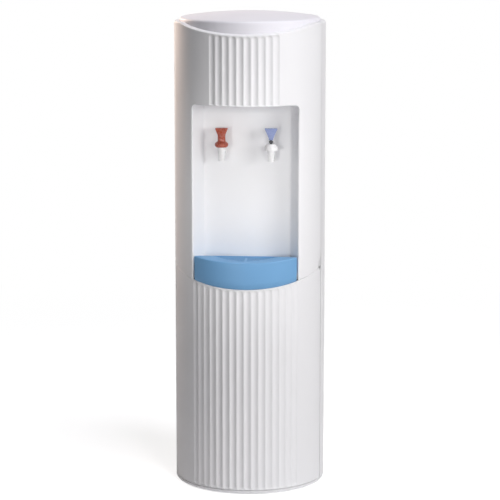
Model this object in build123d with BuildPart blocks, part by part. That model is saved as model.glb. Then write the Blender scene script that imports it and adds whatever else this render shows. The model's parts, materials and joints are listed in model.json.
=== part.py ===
"""Bottom-load water cooler: a round floor-standing cabinet with a fluted front.

Frame: +Z up, the front looks along -Y, the origin is the middle of the footprint on the floor.
All sizes are millimetres.
"""

import math
import os

from build123d import *

os.makedirs("parts", exist_ok=True)

# ---------------------------------------------------------------- driving dimensions
body_radius = 169.0            # outside of the round cabinet
foot_height = 3.0
rim_band = 8.0                 # plain band of the base below the panels
overall_height = 1067.0        # top of the lid's crown
shell_wall = 3.0               # plain moulded walls
fluted_wall = 6.0              # front mouldings, deep enough for the flutes
panel_gap = 1.5                # shadow gap along the inclined seam
edge_gap = 0.6                 # gap between neighbouring shells
front_half_angle = 75.0        # the two front mouldings reach this far round each side

lid_inset = 12.5               # rim between the cabinet's outside and the lid
lid_gap = 0.6
lid_step_width = 6.5
lid_step = 2.5
lid_crown = 11.0
lid_stand = 9.0                # the lid's edge above the level rim
shoulder_radius = 5.0
rim_drop = 22.0                # from the level rim down to its very front
rim_slope = 13.6               # degrees, the rim rises toward the back
ring_drop = 37.0               # from the level rim down to the ring that carries the lid
hood_height = 62.0             # round top part of the back, above the flat recess
back_recess = 44.0             # flat back panel, measured in from the round

seam_front_z = 467.5           # seam between door and upper cover, at the very front
seam_slope = 16.2              # degrees, the seam rises toward the back

flute_pitch = 5.47             # degrees
flute_depth = 3.3
flute_width = 13.8
lower_flutes = 16
upper_flutes = 10
flute_margin = 4.0             # plain band between a rim and the flutes

ledge_rise = 30.5              # from the front of the seam up to the alcove floor
alcove_height = 370.0
alcove_front_x = 117.0         # half width of the alcove at its mouth
alcove_back_x = 97.0
alcove_depth = 50.0
alcove_corner = 6.0
alcove_wall = 4.0
alcove_edge = 3.0
apron_half_angle = 50.0

tray_clearance = 0.6           # from the cabinet's outside
tray_side_gap = 2.5
tray_front_height = 28.6       # front top edge above the alcove floor
tray_corner_rise = 5.6
tray_back_fall = 3.2
tray_floor = 5.0
bowl_radius = 82.0
bowl_inset = 21.0              # from the cabinet's front to the bowl
bowl_back_gap = 16.0           # from the bowl to the alcove's back wall
grille_seat = 4.0              # ledge that the grille lies on
grille_sink = 3.6              # from the tray's front edge down to the grille's underside
grille_thickness = 2.4
grille_slot = 4.0
grille_pitch = 9.0
grille_rib = 5.0               # along the middle of the grille
grille_gap = 0.4

door_edge = 4.5                # radius of the rolled hinge edge
door_pin_radius = 2.0
pin_clearance = 0.05
pin_grip = 16.0                # length of each pin inside the door
hinge_angle = 73.0
tongue_height = 3.0
tongue_width = 8.0
tongue_drop = 8.5              # from the seam above the hinge down to the tongue

deck_drop = 6.5                # from the front of the seam down to the middle deck
deck_thickness = 2.0
deck_inset = 10.5
shelf_rise = 232.0             # from the middle deck up to the tank shelf
post_angle = 66.0              # front posts, the rear pair stands at rear_post_angle
rear_post_angle = 130.0
post_inset = 17.0
post_width = 20.0
post_depth = 8.0
post_wall = 2.0

tap_x = 54.7
tap_reach = 28.0               # from the alcove's back wall to the tap's axis
tap_drop = 90.0                # from the alcove's ceiling down to the lever's pivot
joint_drop = 6.0               # the bonnet meets the body this far below the pivot
tip_drop = 34.0
shank_drop = 17.0
seat_drop = 23.0
tap_top_radius = 8.5
tap_tip_radius = 6.7
bonnet_radius = 10.0
bonnet_rise = 5.0              # flat top of the bonnet above the pivot
cold_skirt_radius = 15.0
shank_radius = 7.0
shank_bore = 2.6
shank_length = 16.0            # behind the alcove's back wall
lever_hub_radius = 4.0
lever_hub_half = 4.0
lever_post_radius = 3.0
lever_post_rise = 22.0
lever_pin_radius = 1.0
lever_tilt = 20.0
neck_radius = 4.5              # dark collar below the cold handle
neck_height = 6.5
neck_lift = 2.2                # keeps the neck clear of the bonnet as it tilts
stem_radius = 1.6
stem_travel = 2.5
seat_thickness = 2.0
seal_radius = 3.4
handle_rise = 39.0
handle_width = 27.7
handle_depth = 10.0

tank_gap = 4.0                 # from the alcove's back wall to the foam
tank_back_gap = 14.0
foam_wall = 20.0
tank_stand = 14.0              # from the shelf up to the tank's bottom
tank_headroom = 65.0           # from the tank's top up to the switches

hot_x = -68.0
hot_radius = 47.0
hot_back_gap = 35.0
hot_height = 179.0

control_drop = 30.0            # from the round hood down to the switches
bezel_x = -18.0
bezel_width = 74.0
bezel_height = 27.0
knob_x = 46.0
spindle_radius = 3.0
gland_x = 70.0
gland_rise = 9.0               # above the middle deck
gland_radius = 7.0
gland_bore = 3.7
drain_x = -70.0
drain_rise = 19.0
drain_radius = 8.0
panel_fit = 0.2                # gap round what passes through the back panel

# ---------------------------------------------------------------- shared places
z_axis = (0, 0, 1)
standing = (Align.CENTER, Align.CENTER, Align.MIN)
hanging = (Align.CENTER, Align.CENTER, Align.MAX)

front_inner_radius = body_radius - fluted_wall
hinge_radius = body_radius - door_edge
lid_radius = body_radius - lid_inset
lid_step_radius = lid_radius - lid_step_width
deck_radius = body_radius - deck_inset
post_radius = body_radius - post_inset
tray_radius = body_radius - tray_clearance
back_flat_y = body_radius - back_recess
back_inner_y = back_flat_y - shell_wall

door_bottom_z = foot_height + rim_band + edge_gap
lid_edge_z = overall_height - lid_crown
rim_level_z = lid_edge_z - lid_stand
rim_front_z = rim_level_z - rim_drop
ring_z = rim_level_z - ring_drop
hood_z = rim_level_z - hood_height
control_z = hood_z - control_drop
deck_z = seam_front_z - deck_drop
shelf_z = deck_z + shelf_rise
ledge_z = seam_front_z + ledge_rise
alcove_top_z = ledge_z + alcove_height
tray_front_z = ledge_z + tray_front_height
tray_corner_z = tray_front_z + tray_corner_rise
tray_back_z = tray_corner_z - tray_back_fall
grille_z = tray_front_z - grille_sink

alcove_front_y = -math.sqrt(body_radius**2 - alcove_front_x**2)
alcove_back_y = alcove_front_y + alcove_depth
bowl_centre_y = -body_radius + bowl_inset + bowl_radius
bowl_back_y = alcove_back_y - bowl_back_gap

tap_y = alcove_back_y - tap_reach
tap_pivot_z = alcove_top_z - tap_drop
tap_joint_z = tap_pivot_z - joint_drop
tap_tip_z = tap_pivot_z - tip_drop
bonnet_top_z = tap_pivot_z + bonnet_rise
shank_z = tap_pivot_z - shank_drop
shank_end_y = alcove_back_y + shank_length
seat_z = tap_pivot_z - seat_drop
lever_post_top_z = tap_pivot_z + lever_post_rise
handle_top_z = tap_pivot_z + handle_rise

foam_front_y = alcove_back_y + alcove_wall + tank_gap
foam_radius = (back_inner_y - tank_back_gap - foam_front_y) / 2
tank_radius = foam_radius - foam_wall
tank_y = foam_front_y + foam_radius
tank_bottom_z = shelf_z + tank_stand
tank_top_z = control_z - tank_headroom

hot_y = back_inner_y - hot_back_gap - hot_radius
hot_top_z = deck_z + hot_height
gland_z = deck_z + gland_rise
drain_z = deck_z + drain_rise


def polar(radius, angle):
    """Point on a circle, the angle counted from the front toward +X."""
    a = math.radians(angle)
    return radius * math.sin(a), -radius * math.cos(a)


def seam_height(y):
    return seam_front_z + (y + body_radius) * math.tan(math.radians(seam_slope))


hinge_x, hinge_y = polar(hinge_radius, hinge_angle)
tongue_z = seam_height(hinge_y) - tongue_drop


def rim_height(y):
    sloped = rim_front_z + (y + body_radius) * math.tan(math.radians(rim_slope))
    return min(rim_level_z, sloped)


def sloped_plane(z_front, slope):
    s = math.radians(slope)
    return Plane(origin=(0, -body_radius, z_front), x_dir=(1, 0, 0), z_dir=(0, -math.sin(s), math.cos(s)))


def wedge(start, end, reach=5 * body_radius):
    """Corner points of a front wedge between two angles, for cutting a sector."""
    return [(0, 0), polar(reach, start), polar(reach, end)]


def alcove_outline(grow=0.0):
    """Plan corners of the alcove, splayed toward the front and grown all round."""
    splay = (alcove_front_x - alcove_back_x) / (alcove_back_y - alcove_front_y)
    back_y = alcove_back_y + grow
    back_x = alcove_back_x + grow - splay * grow
    front_y = -body_radius - 10
    front_x = alcove_front_x + grow + splay * (alcove_front_y - front_y)
    return [(-back_x, back_y), (back_x, back_y), (front_x, front_y), (-front_x, front_y)]


def flute_cutter(z_low, z_high):
    """Round-ended cutter for one flute, standing on z_low."""
    radius = flute_width**2 / (8 * flute_depth) + flute_depth / 2
    with BuildPart() as cutter:
        with BuildSketch(Plane.XZ):
            with BuildLine():
                Line((0, z_low), (0, z_high))
                RadiusArc((0, z_high), (radius, z_high - radius), radius)
                Line((radius, z_high - radius), (radius, z_low + radius))
                RadiusArc((radius, z_low + radius), (0, z_low), radius)
            make_face()
        revolve(axis=Axis.Z)
    return cutter.part, body_radius - flute_depth + radius


def flute_angles(count):
    return [(i - (count - 1) / 2) * flute_pitch for i in range(count)]


# ---------------------------------------------------------------- base
foot_radius = 16.0
foot_stud = 4.0
foot_places = [polar(body_radius - 51, a) for a in (45, 135, 225, 315)]
pan_top = foot_height + rim_band
platform_z = pan_top + 9.0

with BuildPart() as base_pan:
    with BuildSketch(Plane.XY.offset(foot_height)):
        Circle(body_radius)
    extrude(amount=rim_band)
    fillet(base_pan.edges().sort_by(Axis.Z)[0], rim_band - 1)
    with BuildSketch(Plane.XY.offset(pan_top)):
        Circle(deck_radius)
        with Locations((0, body_radius + back_inner_y - 1)):
            Rectangle(2 * body_radius, 2 * body_radius, mode=Mode.SUBTRACT)
    extrude(amount=platform_z - pan_top)
    with BuildSketch(Plane.XY.offset(foot_height)):
        Circle(body_radius - 19)
        with Locations(*foot_places):
            Circle(foot_radius + 6, mode=Mode.SUBTRACT)
    extrude(amount=rim_band - 3, mode=Mode.SUBTRACT)
    with Locations(*[(x, y, foot_height) for x, y in foot_places]):
        Cylinder(foot_stud, 8, align=standing, mode=Mode.SUBTRACT)
    with Locations((hinge_x, hinge_y, foot_height + 2)):
        Cylinder(door_pin_radius, 20, align=standing, mode=Mode.SUBTRACT)
base_pan.part.label = "base_pan"
export_step(base_pan.part, "parts/base_pan.step")

with BuildPart() as feet:
    with Locations(*[(x, y, 0) for x, y in foot_places]):
        Cylinder(foot_radius, foot_height, align=standing)
        Cylinder(foot_stud, foot_height + 7, align=standing)
feet.part.label = "feet"
export_step(feet.part, "parts/feet.step")

bottle_radius = 135.0
bottle_y = bottle_radius + 7 - front_inner_radius
cradle_z = platform_z + 8.0

with BuildPart() as bottle_cradle:
    with BuildSketch(Plane.XY.offset(platform_z)):
        with Locations((0, bottle_y + 6)):
            Circle(bottle_radius + 5)
        with Locations((0, body_radius + back_inner_y - 4)):
            Rectangle(2 * body_radius, 2 * body_radius, mode=Mode.SUBTRACT)
    extrude(amount=cradle_z - platform_z)
    with BuildSketch(Plane.XY.offset(cradle_z)):
        with Locations((0, bottle_y)):
            Circle(bottle_radius + 1)
    extrude(amount=-5, mode=Mode.SUBTRACT)
bottle_cradle.part.label = "bottle_cradle"
export_step(bottle_cradle.part, "parts/bottle_cradle.step")

# ---------------------------------------------------------------- rear shell
with BuildPart() as rear_shell:
    with BuildSketch(Plane.XY.offset(hood_z)):
        Circle(body_radius)
    extrude(amount=rim_level_z - hood_z)
    fillet(rear_shell.edges().sort_by(Axis.Z)[-1], shoulder_radius)
    with BuildSketch(Plane.XY.offset(door_bottom_z)):
        Circle(body_radius)
        with Locations((0, back_flat_y + body_radius)):
            Rectangle(2 * body_radius, 2 * body_radius, mode=Mode.SUBTRACT)
    extrude(amount=hood_z - door_bottom_z)
    with BuildSketch(Plane.XY.offset(door_bottom_z)):
        Circle(body_radius - shell_wall)
        with Locations((0, back_inner_y + body_radius)):
            Rectangle(2 * body_radius, 2 * body_radius, mode=Mode.SUBTRACT)
    extrude(amount=hood_z + shell_wall - door_bottom_z, mode=Mode.SUBTRACT)
    with BuildSketch(Plane.XY.offset(hood_z + shell_wall)):
        Circle(body_radius - shell_wall)
    extrude(amount=rim_level_z - hood_z - 2 * shell_wall, mode=Mode.SUBTRACT)
    with BuildSketch(Plane.XY.offset(rim_level_z - shell_wall)):
        Circle(lid_radius + lid_gap)
    extrude(amount=shell_wall, mode=Mode.SUBTRACT)
    with BuildSketch(Plane.XY.offset(door_bottom_z)):
        Polygon(*wedge(-front_half_angle - 0.3, front_half_angle + 0.3), align=None)
    extrude(amount=overall_height, mode=Mode.SUBTRACT)
    # air slots low on the flat back
    with BuildSketch(Plane.XZ.offset(-back_flat_y - 1)):
        with Locations((0, shelf_z - 53)):
            with GridLocations(80, 14, 2, 5):
                SlotOverall(60, 5)
        with Locations((bezel_x, control_z)):
            Rectangle(bezel_width + 2 * panel_fit, bezel_height + 2 * panel_fit)
        with Locations((knob_x, control_z)):
            Circle(spindle_radius + panel_fit)
        with Locations((gland_x, gland_z)):
            Circle(gland_radius + panel_fit)
        with Locations((drain_x, drain_z)):
            Circle(drain_radius + panel_fit)
    extrude(amount=shell_wall + 2, mode=Mode.SUBTRACT)
rear_shell.part.label = "rear_shell"
export_step(rear_shell.part, "parts/rear_shell.step")

# ---------------------------------------------------------------- upper front cover
with BuildPart() as cover_void:
    with BuildSketch(Plane.XY.offset(seam_front_z - 20)):
        Circle(front_inner_radius)
    extrude(amount=rim_level_z - shell_wall - seam_front_z + 20)
    split(bisect_by=sloped_plane(rim_front_z - shell_wall, rim_slope), keep=Keep.BOTTOM)

with BuildPart() as alcove_space:
    with BuildSketch(Plane.XY.offset(ledge_z)):
        Polygon(*alcove_outline(), align=None)
    extrude(amount=alcove_top_z - ledge_z)
    back_corners = alcove_space.edges().filter_by(Axis.Z).group_by(Axis.Y)[-1]
    fillet(back_corners, alcove_corner)

with BuildPart() as alcove_block:
    with BuildSketch(Plane.XY.offset(ledge_z - alcove_wall)):
        Polygon(*alcove_outline(alcove_wall), align=None)
        Circle(front_inner_radius + 1, mode=Mode.INTERSECT)
    extrude(amount=alcove_top_z - ledge_z + 2 * alcove_wall)

with BuildPart() as upper_front_cover:
    with BuildSketch(Plane.XY.offset(seam_front_z - 10)):
        Circle(body_radius)
        Polygon(*wedge(-front_half_angle + 0.1, front_half_angle - 0.1), align=None, mode=Mode.INTERSECT)
    extrude(amount=rim_level_z - seam_front_z + 10)
    split(bisect_by=sloped_plane(rim_front_z, rim_slope), keep=Keep.BOTTOM)
    split(bisect_by=sloped_plane(seam_front_z + panel_gap, seam_slope), keep=Keep.TOP)
    add(cover_void.part, mode=Mode.SUBTRACT)
    with BuildSketch(Plane.XY.offset(rim_level_z)):
        Circle(lid_radius + lid_gap)
    extrude(amount=-60, mode=Mode.SUBTRACT)
    add(alcove_block.part)
    add(alcove_space.part, mode=Mode.SUBTRACT)
    # apron below the alcove floor, and the space in front of it for the tray's skirt
    with BuildSketch(Plane.XY.offset(seam_front_z - 10)):
        Circle(front_inner_radius + 0.2)
        Circle(front_inner_radius - shell_wall - 0.6, mode=Mode.SUBTRACT)
        Polygon(*wedge(-apron_half_angle, apron_half_angle), align=None, mode=Mode.INTERSECT)
    extrude(amount=ledge_z - seam_front_z + 10)
    split(bisect_by=sloped_plane(seam_front_z + panel_gap, seam_slope), keep=Keep.TOP)
    with BuildSketch(Plane.XY.offset(seam_front_z - 10)):
        Polygon(*alcove_outline(), align=None)
        Circle(front_inner_radius - 0.6, mode=Mode.SUBTRACT)
    extrude(amount=ledge_z - seam_front_z + 10, mode=Mode.SUBTRACT)
    # softened mouth of the alcove
    mouth = upper_front_cover.edges().filter_by(
        lambda e: abs(math.hypot(e.center().X, e.center().Y) - body_radius) < 0.01
        and ledge_z < e.center().Z < alcove_top_z + 1
        and e.geom_type == GeomType.LINE
        and abs(e.center().X) < alcove_front_x + 1
    )
    mouth += upper_front_cover.edges().filter_by(GeomType.CIRCLE).filter_by(
        lambda e: abs(e.radius - body_radius) < 0.01 and abs(e.center().Z - alcove_top_z) < 0.01
    )
    fillet(mouth, alcove_edge)
    # two holes for the tap shanks
    with BuildSketch(Plane.XZ.offset(-alcove_back_y + 1)):
        with Locations((-tap_x, shank_z), (tap_x, shank_z)):
            Circle(shank_radius + 0.1)
    extrude(amount=-alcove_wall - 2, mode=Mode.SUBTRACT)
    # the upper flutes
    for angle in flute_angles(upper_flutes):
        top = rim_height(-body_radius * math.cos(math.radians(angle))) - flute_margin
        cutter, reach = flute_cutter(alcove_top_z + flute_margin, top)
        with Locations((*polar(reach, angle), 0)):
            add(cutter, mode=Mode.SUBTRACT)
upper_front_cover.part.label = "upper_front_cover"
export_step(upper_front_cover.part, "parts/upper_front_cover.step")

# ---------------------------------------------------------------- lower door
door_lip = 1.0                 # flat lip outside the bevel along the door's top
door_bevel = 6.5

with BuildPart() as lower_door:
    with BuildSketch(Plane.XY.offset(door_bottom_z)):
        Circle(body_radius)
        Circle(front_inner_radius, mode=Mode.SUBTRACT)
        Polygon(*wedge(-front_half_angle + 0.1, hinge_angle), align=None, mode=Mode.INTERSECT)
        with Locations((hinge_x, hinge_y)):
            Circle(door_edge)
    extrude(amount=seam_height(0) - door_bottom_z)
    split(bisect_by=sloped_plane(seam_front_z, seam_slope), keep=Keep.BOTTOM)
    # the inner rim slopes down steeply, so that the door swings out from under the cover
    seam_face = lower_door.faces().filter_by(lambda f: f.normal_at().Z > 0.9).sort_by(Axis.Z)[-1]
    inner_rim = seam_face.edges().filter_by(
        lambda e: e.geom_type == GeomType.ELLIPSE
        and abs(math.hypot(e.center().X, e.center().Y) - front_inner_radius) < 0.01
    )
    chamfer(inner_rim, fluted_wall - door_lip, door_bevel, reference=seam_face)
    # room for the upper hinge tongue, and the two pin bores
    with Locations((hinge_x, hinge_y, tongue_z - 0.5)):
        Cylinder(door_edge + 1.0, 60, align=standing, mode=Mode.SUBTRACT)
    with Locations((hinge_x, hinge_y, door_bottom_z), (hinge_x, hinge_y, tongue_z - 0.5)):
        Cylinder(door_pin_radius + pin_clearance, 2 * pin_grip + 4, mode=Mode.SUBTRACT)
    # the lower flutes
    for angle in flute_angles(lower_flutes):
        top = seam_height(-body_radius * math.cos(math.radians(angle))) - flute_margin
        cutter, reach = flute_cutter(door_bottom_z + 2, top)
        with Locations((*polar(reach, angle), 0)):
            add(cutter, mode=Mode.SUBTRACT)
lower_door.part.label = "lower_door"
export_step(lower_door.part, "parts/lower_door.step")

# hinge pins: the lower one stands in the base, the upper one hangs from the tongue
with BuildPart() as hinge_pins:
    with Locations((hinge_x, hinge_y, foot_height + 2)):
        Cylinder(door_pin_radius, door_bottom_z + pin_grip - foot_height - 2,
                 align=standing)
    with Locations((hinge_x, hinge_y, tongue_z - pin_grip)):
        Cylinder(door_pin_radius, pin_grip + tongue_height, align=standing)
hinge_pins.part.label = "hinge_pins"
export_step(hinge_pins.part, "parts/hinge_pins.step")

hinge_leg_radius = body_radius - 17
with BuildPart() as hinge_bracket:
    with BuildSketch(Plane(origin=(0, 0, tongue_z), x_dir=(*polar(1, hinge_angle), 0), z_dir=z_axis)):
        with Locations(((hinge_leg_radius + hinge_radius) / 2, 0)):
            Rectangle(hinge_radius - hinge_leg_radius, tongue_width)
        with Locations((hinge_radius, 0)):
            Circle(tongue_width / 2)
        with Locations((hinge_radius, 0)):
            Circle(door_pin_radius, mode=Mode.SUBTRACT)
    extrude(amount=tongue_height)
    with BuildSketch(Plane(origin=(0, 0, deck_z), x_dir=(*polar(1, hinge_angle), 0), z_dir=z_axis)):
        with Locations((hinge_leg_radius - 1.5, 0)):
            Rectangle(3, tongue_width)
    extrude(amount=tongue_z + tongue_height - deck_z)
    with BuildSketch(Plane(origin=(0, 0, deck_z), x_dir=(*polar(1, hinge_angle), 0), z_dir=z_axis)):
        with Locations((hinge_leg_radius - 12, 0)):
            Rectangle(24, tongue_width)
    extrude(amount=3)
hinge_bracket.part.label = "hinge_bracket"
export_step(hinge_bracket.part, "parts/hinge_bracket.step")

# magnet catch at the free edge
catch_z = deck_z - 31
catch_height = 30.0
strike_thickness = 1.5
catch_plane = Plane(origin=(0, 0, catch_z), x_dir=(*polar(1, -post_angle), 0), z_dir=z_axis)
strike_face = front_inner_radius - strike_thickness - 0.3
with BuildPart() as door_strike:
    with BuildSketch(catch_plane):
        with Locations((strike_face + strike_thickness / 2, 0)):
            Rectangle(strike_thickness, 14)
    extrude(amount=catch_height / 2, both=True)
door_strike.part.label = "door_strike"
export_step(door_strike.part, "parts/door_strike.step")

with BuildPart() as door_magnet:
    with BuildSketch(catch_plane):
        with Locations(((post_radius + post_depth / 2 + strike_face - 0.4) / 2, 0)):
            Rectangle(strike_face - 0.4 - post_radius - post_depth / 2, 16)
    extrude(amount=catch_height / 2, both=True)
    fillet(door_magnet.edges().filter_by(Axis.Z), 0.8)
door_magnet.part.label = "door_magnet"
export_step(door_magnet.part, "parts/door_magnet.step")

# ---------------------------------------------------------------- frame inside
post_angles = (-rear_post_angle, -post_angle, post_angle, rear_post_angle)
post_spans = [
    (platform_z, deck_z - deck_thickness),
    (deck_z, shelf_z - deck_thickness),
    (shelf_z, ring_z - shell_wall),
]
with BuildPart() as frame_posts:
    for angle in post_angles:
        for low, high in post_spans:
            with BuildSketch(Plane(origin=(0, 0, low), x_dir=(*polar(1, angle), 0), z_dir=z_axis)):
                with Locations((post_radius, 0)):
                    Rectangle(post_depth, post_width)
                    Rectangle(post_depth - 2 * post_wall, post_width - 2 * post_wall, mode=Mode.SUBTRACT)
            extrude(amount=high - low)
frame_posts.part.label = "frame_posts"
export_step(frame_posts.part, "parts/frame_posts.step")

hose_radius = 4.5
hose_x, hose_y = polar(body_radius - 33.3, -109.37)
with BuildPart() as mid_deck:
    with BuildSketch(Plane.XY.offset(deck_z - deck_thickness)):
        Circle(deck_radius)
        with Locations((0, body_radius + back_inner_y - 0.4)):
            Rectangle(2 * body_radius, 2 * body_radius, mode=Mode.SUBTRACT)
        with Locations((hose_x, hose_y)):
            Circle(hose_radius, mode=Mode.SUBTRACT)
    extrude(amount=deck_thickness)
mid_deck.part.label = "mid_deck"
export_step(mid_deck.part, "parts/mid_deck.step")

with BuildPart() as top_ring:
    with BuildSketch(Plane.XY.offset(ring_z - shell_wall)):
        Circle(front_inner_radius - 0.3)
        Circle(lid_radius - 28.5, mode=Mode.SUBTRACT)
    extrude(amount=shell_wall)
top_ring.part.label = "top_ring"
export_step(top_ring.part, "parts/top_ring.step")

with BuildPart() as top_lid:
    with BuildSketch(Plane.XZ):
        with BuildLine():
            ledge = lid_edge_z - lid_step
            crown_radius = (lid_step_radius**2 + lid_crown**2) / (2 * lid_crown)
            RadiusArc((0, overall_height), (lid_step_radius, lid_edge_z), crown_radius)
            Line((lid_step_radius, lid_edge_z), (lid_step_radius + 1.0, ledge))
            Line((lid_step_radius + 1.0, ledge), (lid_radius - 2, ledge))
            RadiusArc((lid_radius - 2, ledge), (lid_radius, ledge - 2), 2)
            Line((lid_radius, ledge - 2), (lid_radius, ring_z))
            Line((lid_radius, ring_z), (lid_radius - shell_wall, ring_z))
            Line((lid_radius - shell_wall, ring_z), (lid_radius - shell_wall, ledge - shell_wall))
            under_edge = (lid_step_radius - shell_wall, ledge - shell_wall)
            under_top = (0, overall_height - shell_wall)
            under_crown = lid_crown + lid_step
            under_radius = (under_edge[0] ** 2 + under_crown**2) / (2 * under_crown)
            Line((lid_radius - shell_wall, ledge - shell_wall), under_edge)
            RadiusArc(under_edge, under_top, -under_radius)
            Line(under_top, (0, overall_height))
        make_face()
    revolve(axis=Axis.Z)
top_lid.part.label = "top_lid"
export_step(top_lid.part, "parts/top_lid.step")

# ---------------------------------------------------------------- drip tray and grille
tray_side = (tray_corner_z - tray_front_z) / (body_radius + alcove_front_y)
with BuildPart() as drip_tray:
    with BuildSketch(Plane.XY.offset(ledge_z + 0.3)):
        Polygon(*alcove_outline(-tray_side_gap), align=None)
        Circle(tray_radius, mode=Mode.INTERSECT)
    extrude(amount=tray_corner_z - ledge_z)
    tray_back_corners = drip_tray.edges().filter_by(Axis.Z).group_by(Axis.Y)[-1]
    fillet(tray_back_corners, alcove_corner)
    with BuildSketch(Plane.XY.offset(seam_front_z - 10)):
        Polygon(*alcove_outline(-tray_side_gap), align=None)
        Circle(tray_radius, mode=Mode.INTERSECT)
        Circle(front_inner_radius + 0.3, mode=Mode.SUBTRACT)
    extrude(amount=ledge_z + 1 - seam_front_z + 10)
    split(bisect_by=sloped_plane(seam_front_z + panel_gap, seam_slope), keep=Keep.TOP)
    front_top = Plane(origin=(0, -body_radius, tray_front_z), x_dir=(1, 0, 0), z_dir=(0, -tray_side, 1))
    split(bisect_by=front_top, keep=Keep.BOTTOM)
    back_fall = (tray_corner_z - tray_back_z) / (alcove_back_y - alcove_front_y)
    back_top = Plane(origin=(0, alcove_front_y, tray_corner_z), x_dir=(1, 0, 0), z_dir=(0, back_fall, 1))
    split(bisect_by=back_top, keep=Keep.BOTTOM)
    with BuildSketch(Plane.XY.offset(ledge_z + tray_floor)):
        with Locations((0, bowl_centre_y)):
            Circle(bowl_radius)
        with Locations((0, bowl_back_y + body_radius)):
            Rectangle(2 * body_radius, 2 * body_radius, mode=Mode.SUBTRACT)
    extrude(amount=60, mode=Mode.SUBTRACT)
    with BuildSketch(Plane.XY.offset(grille_z)):
        with Locations((0, bowl_centre_y)):
            Circle(bowl_radius + grille_seat)
        with Locations((0, bowl_back_y + grille_seat + body_radius)):
            Rectangle(2 * body_radius, 2 * body_radius, mode=Mode.SUBTRACT)
    extrude(amount=60, mode=Mode.SUBTRACT)
drip_tray.part.label = "drip_tray"
export_step(drip_tray.part, "parts/drip_tray.step")

with BuildPart() as drip_grille:
    with BuildSketch(Plane.XY.offset(grille_z)):
        with Locations((0, bowl_centre_y)):
            Circle(bowl_radius + grille_seat - grille_gap)
        with Locations((0, bowl_back_y + grille_seat - grille_gap + body_radius)):
            Rectangle(2 * body_radius, 2 * body_radius, mode=Mode.SUBTRACT)
        slot_radius = bowl_radius - 4
        first_slot_y = bowl_back_y - 5
        slot_count = int((first_slot_y - bowl_centre_y + slot_radius) / grille_pitch)
        for i in range(slot_count):
            y = first_slot_y - i * grille_pitch
            half = math.sqrt(slot_radius**2 - (abs(y - bowl_centre_y) + grille_slot / 2) ** 2)
            slot_length = half - grille_rib / 2
            with Locations(*[(side * (half + grille_rib / 2) / 2, y) for side in (-1, 1)]):
                Rectangle(slot_length, grille_slot, mode=Mode.SUBTRACT)
    extrude(amount=grille_thickness)
drip_grille.part.label = "drip_grille"
export_step(drip_grille.part, "parts/drip_grille.step")

# ---------------------------------------------------------------- taps
collar_z = tap_joint_z - 2.0            # collar on the stem that the spring lifts
chamber_z = seat_z - 3.5 - stem_travel  # foot of the wide bore below the seat

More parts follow.
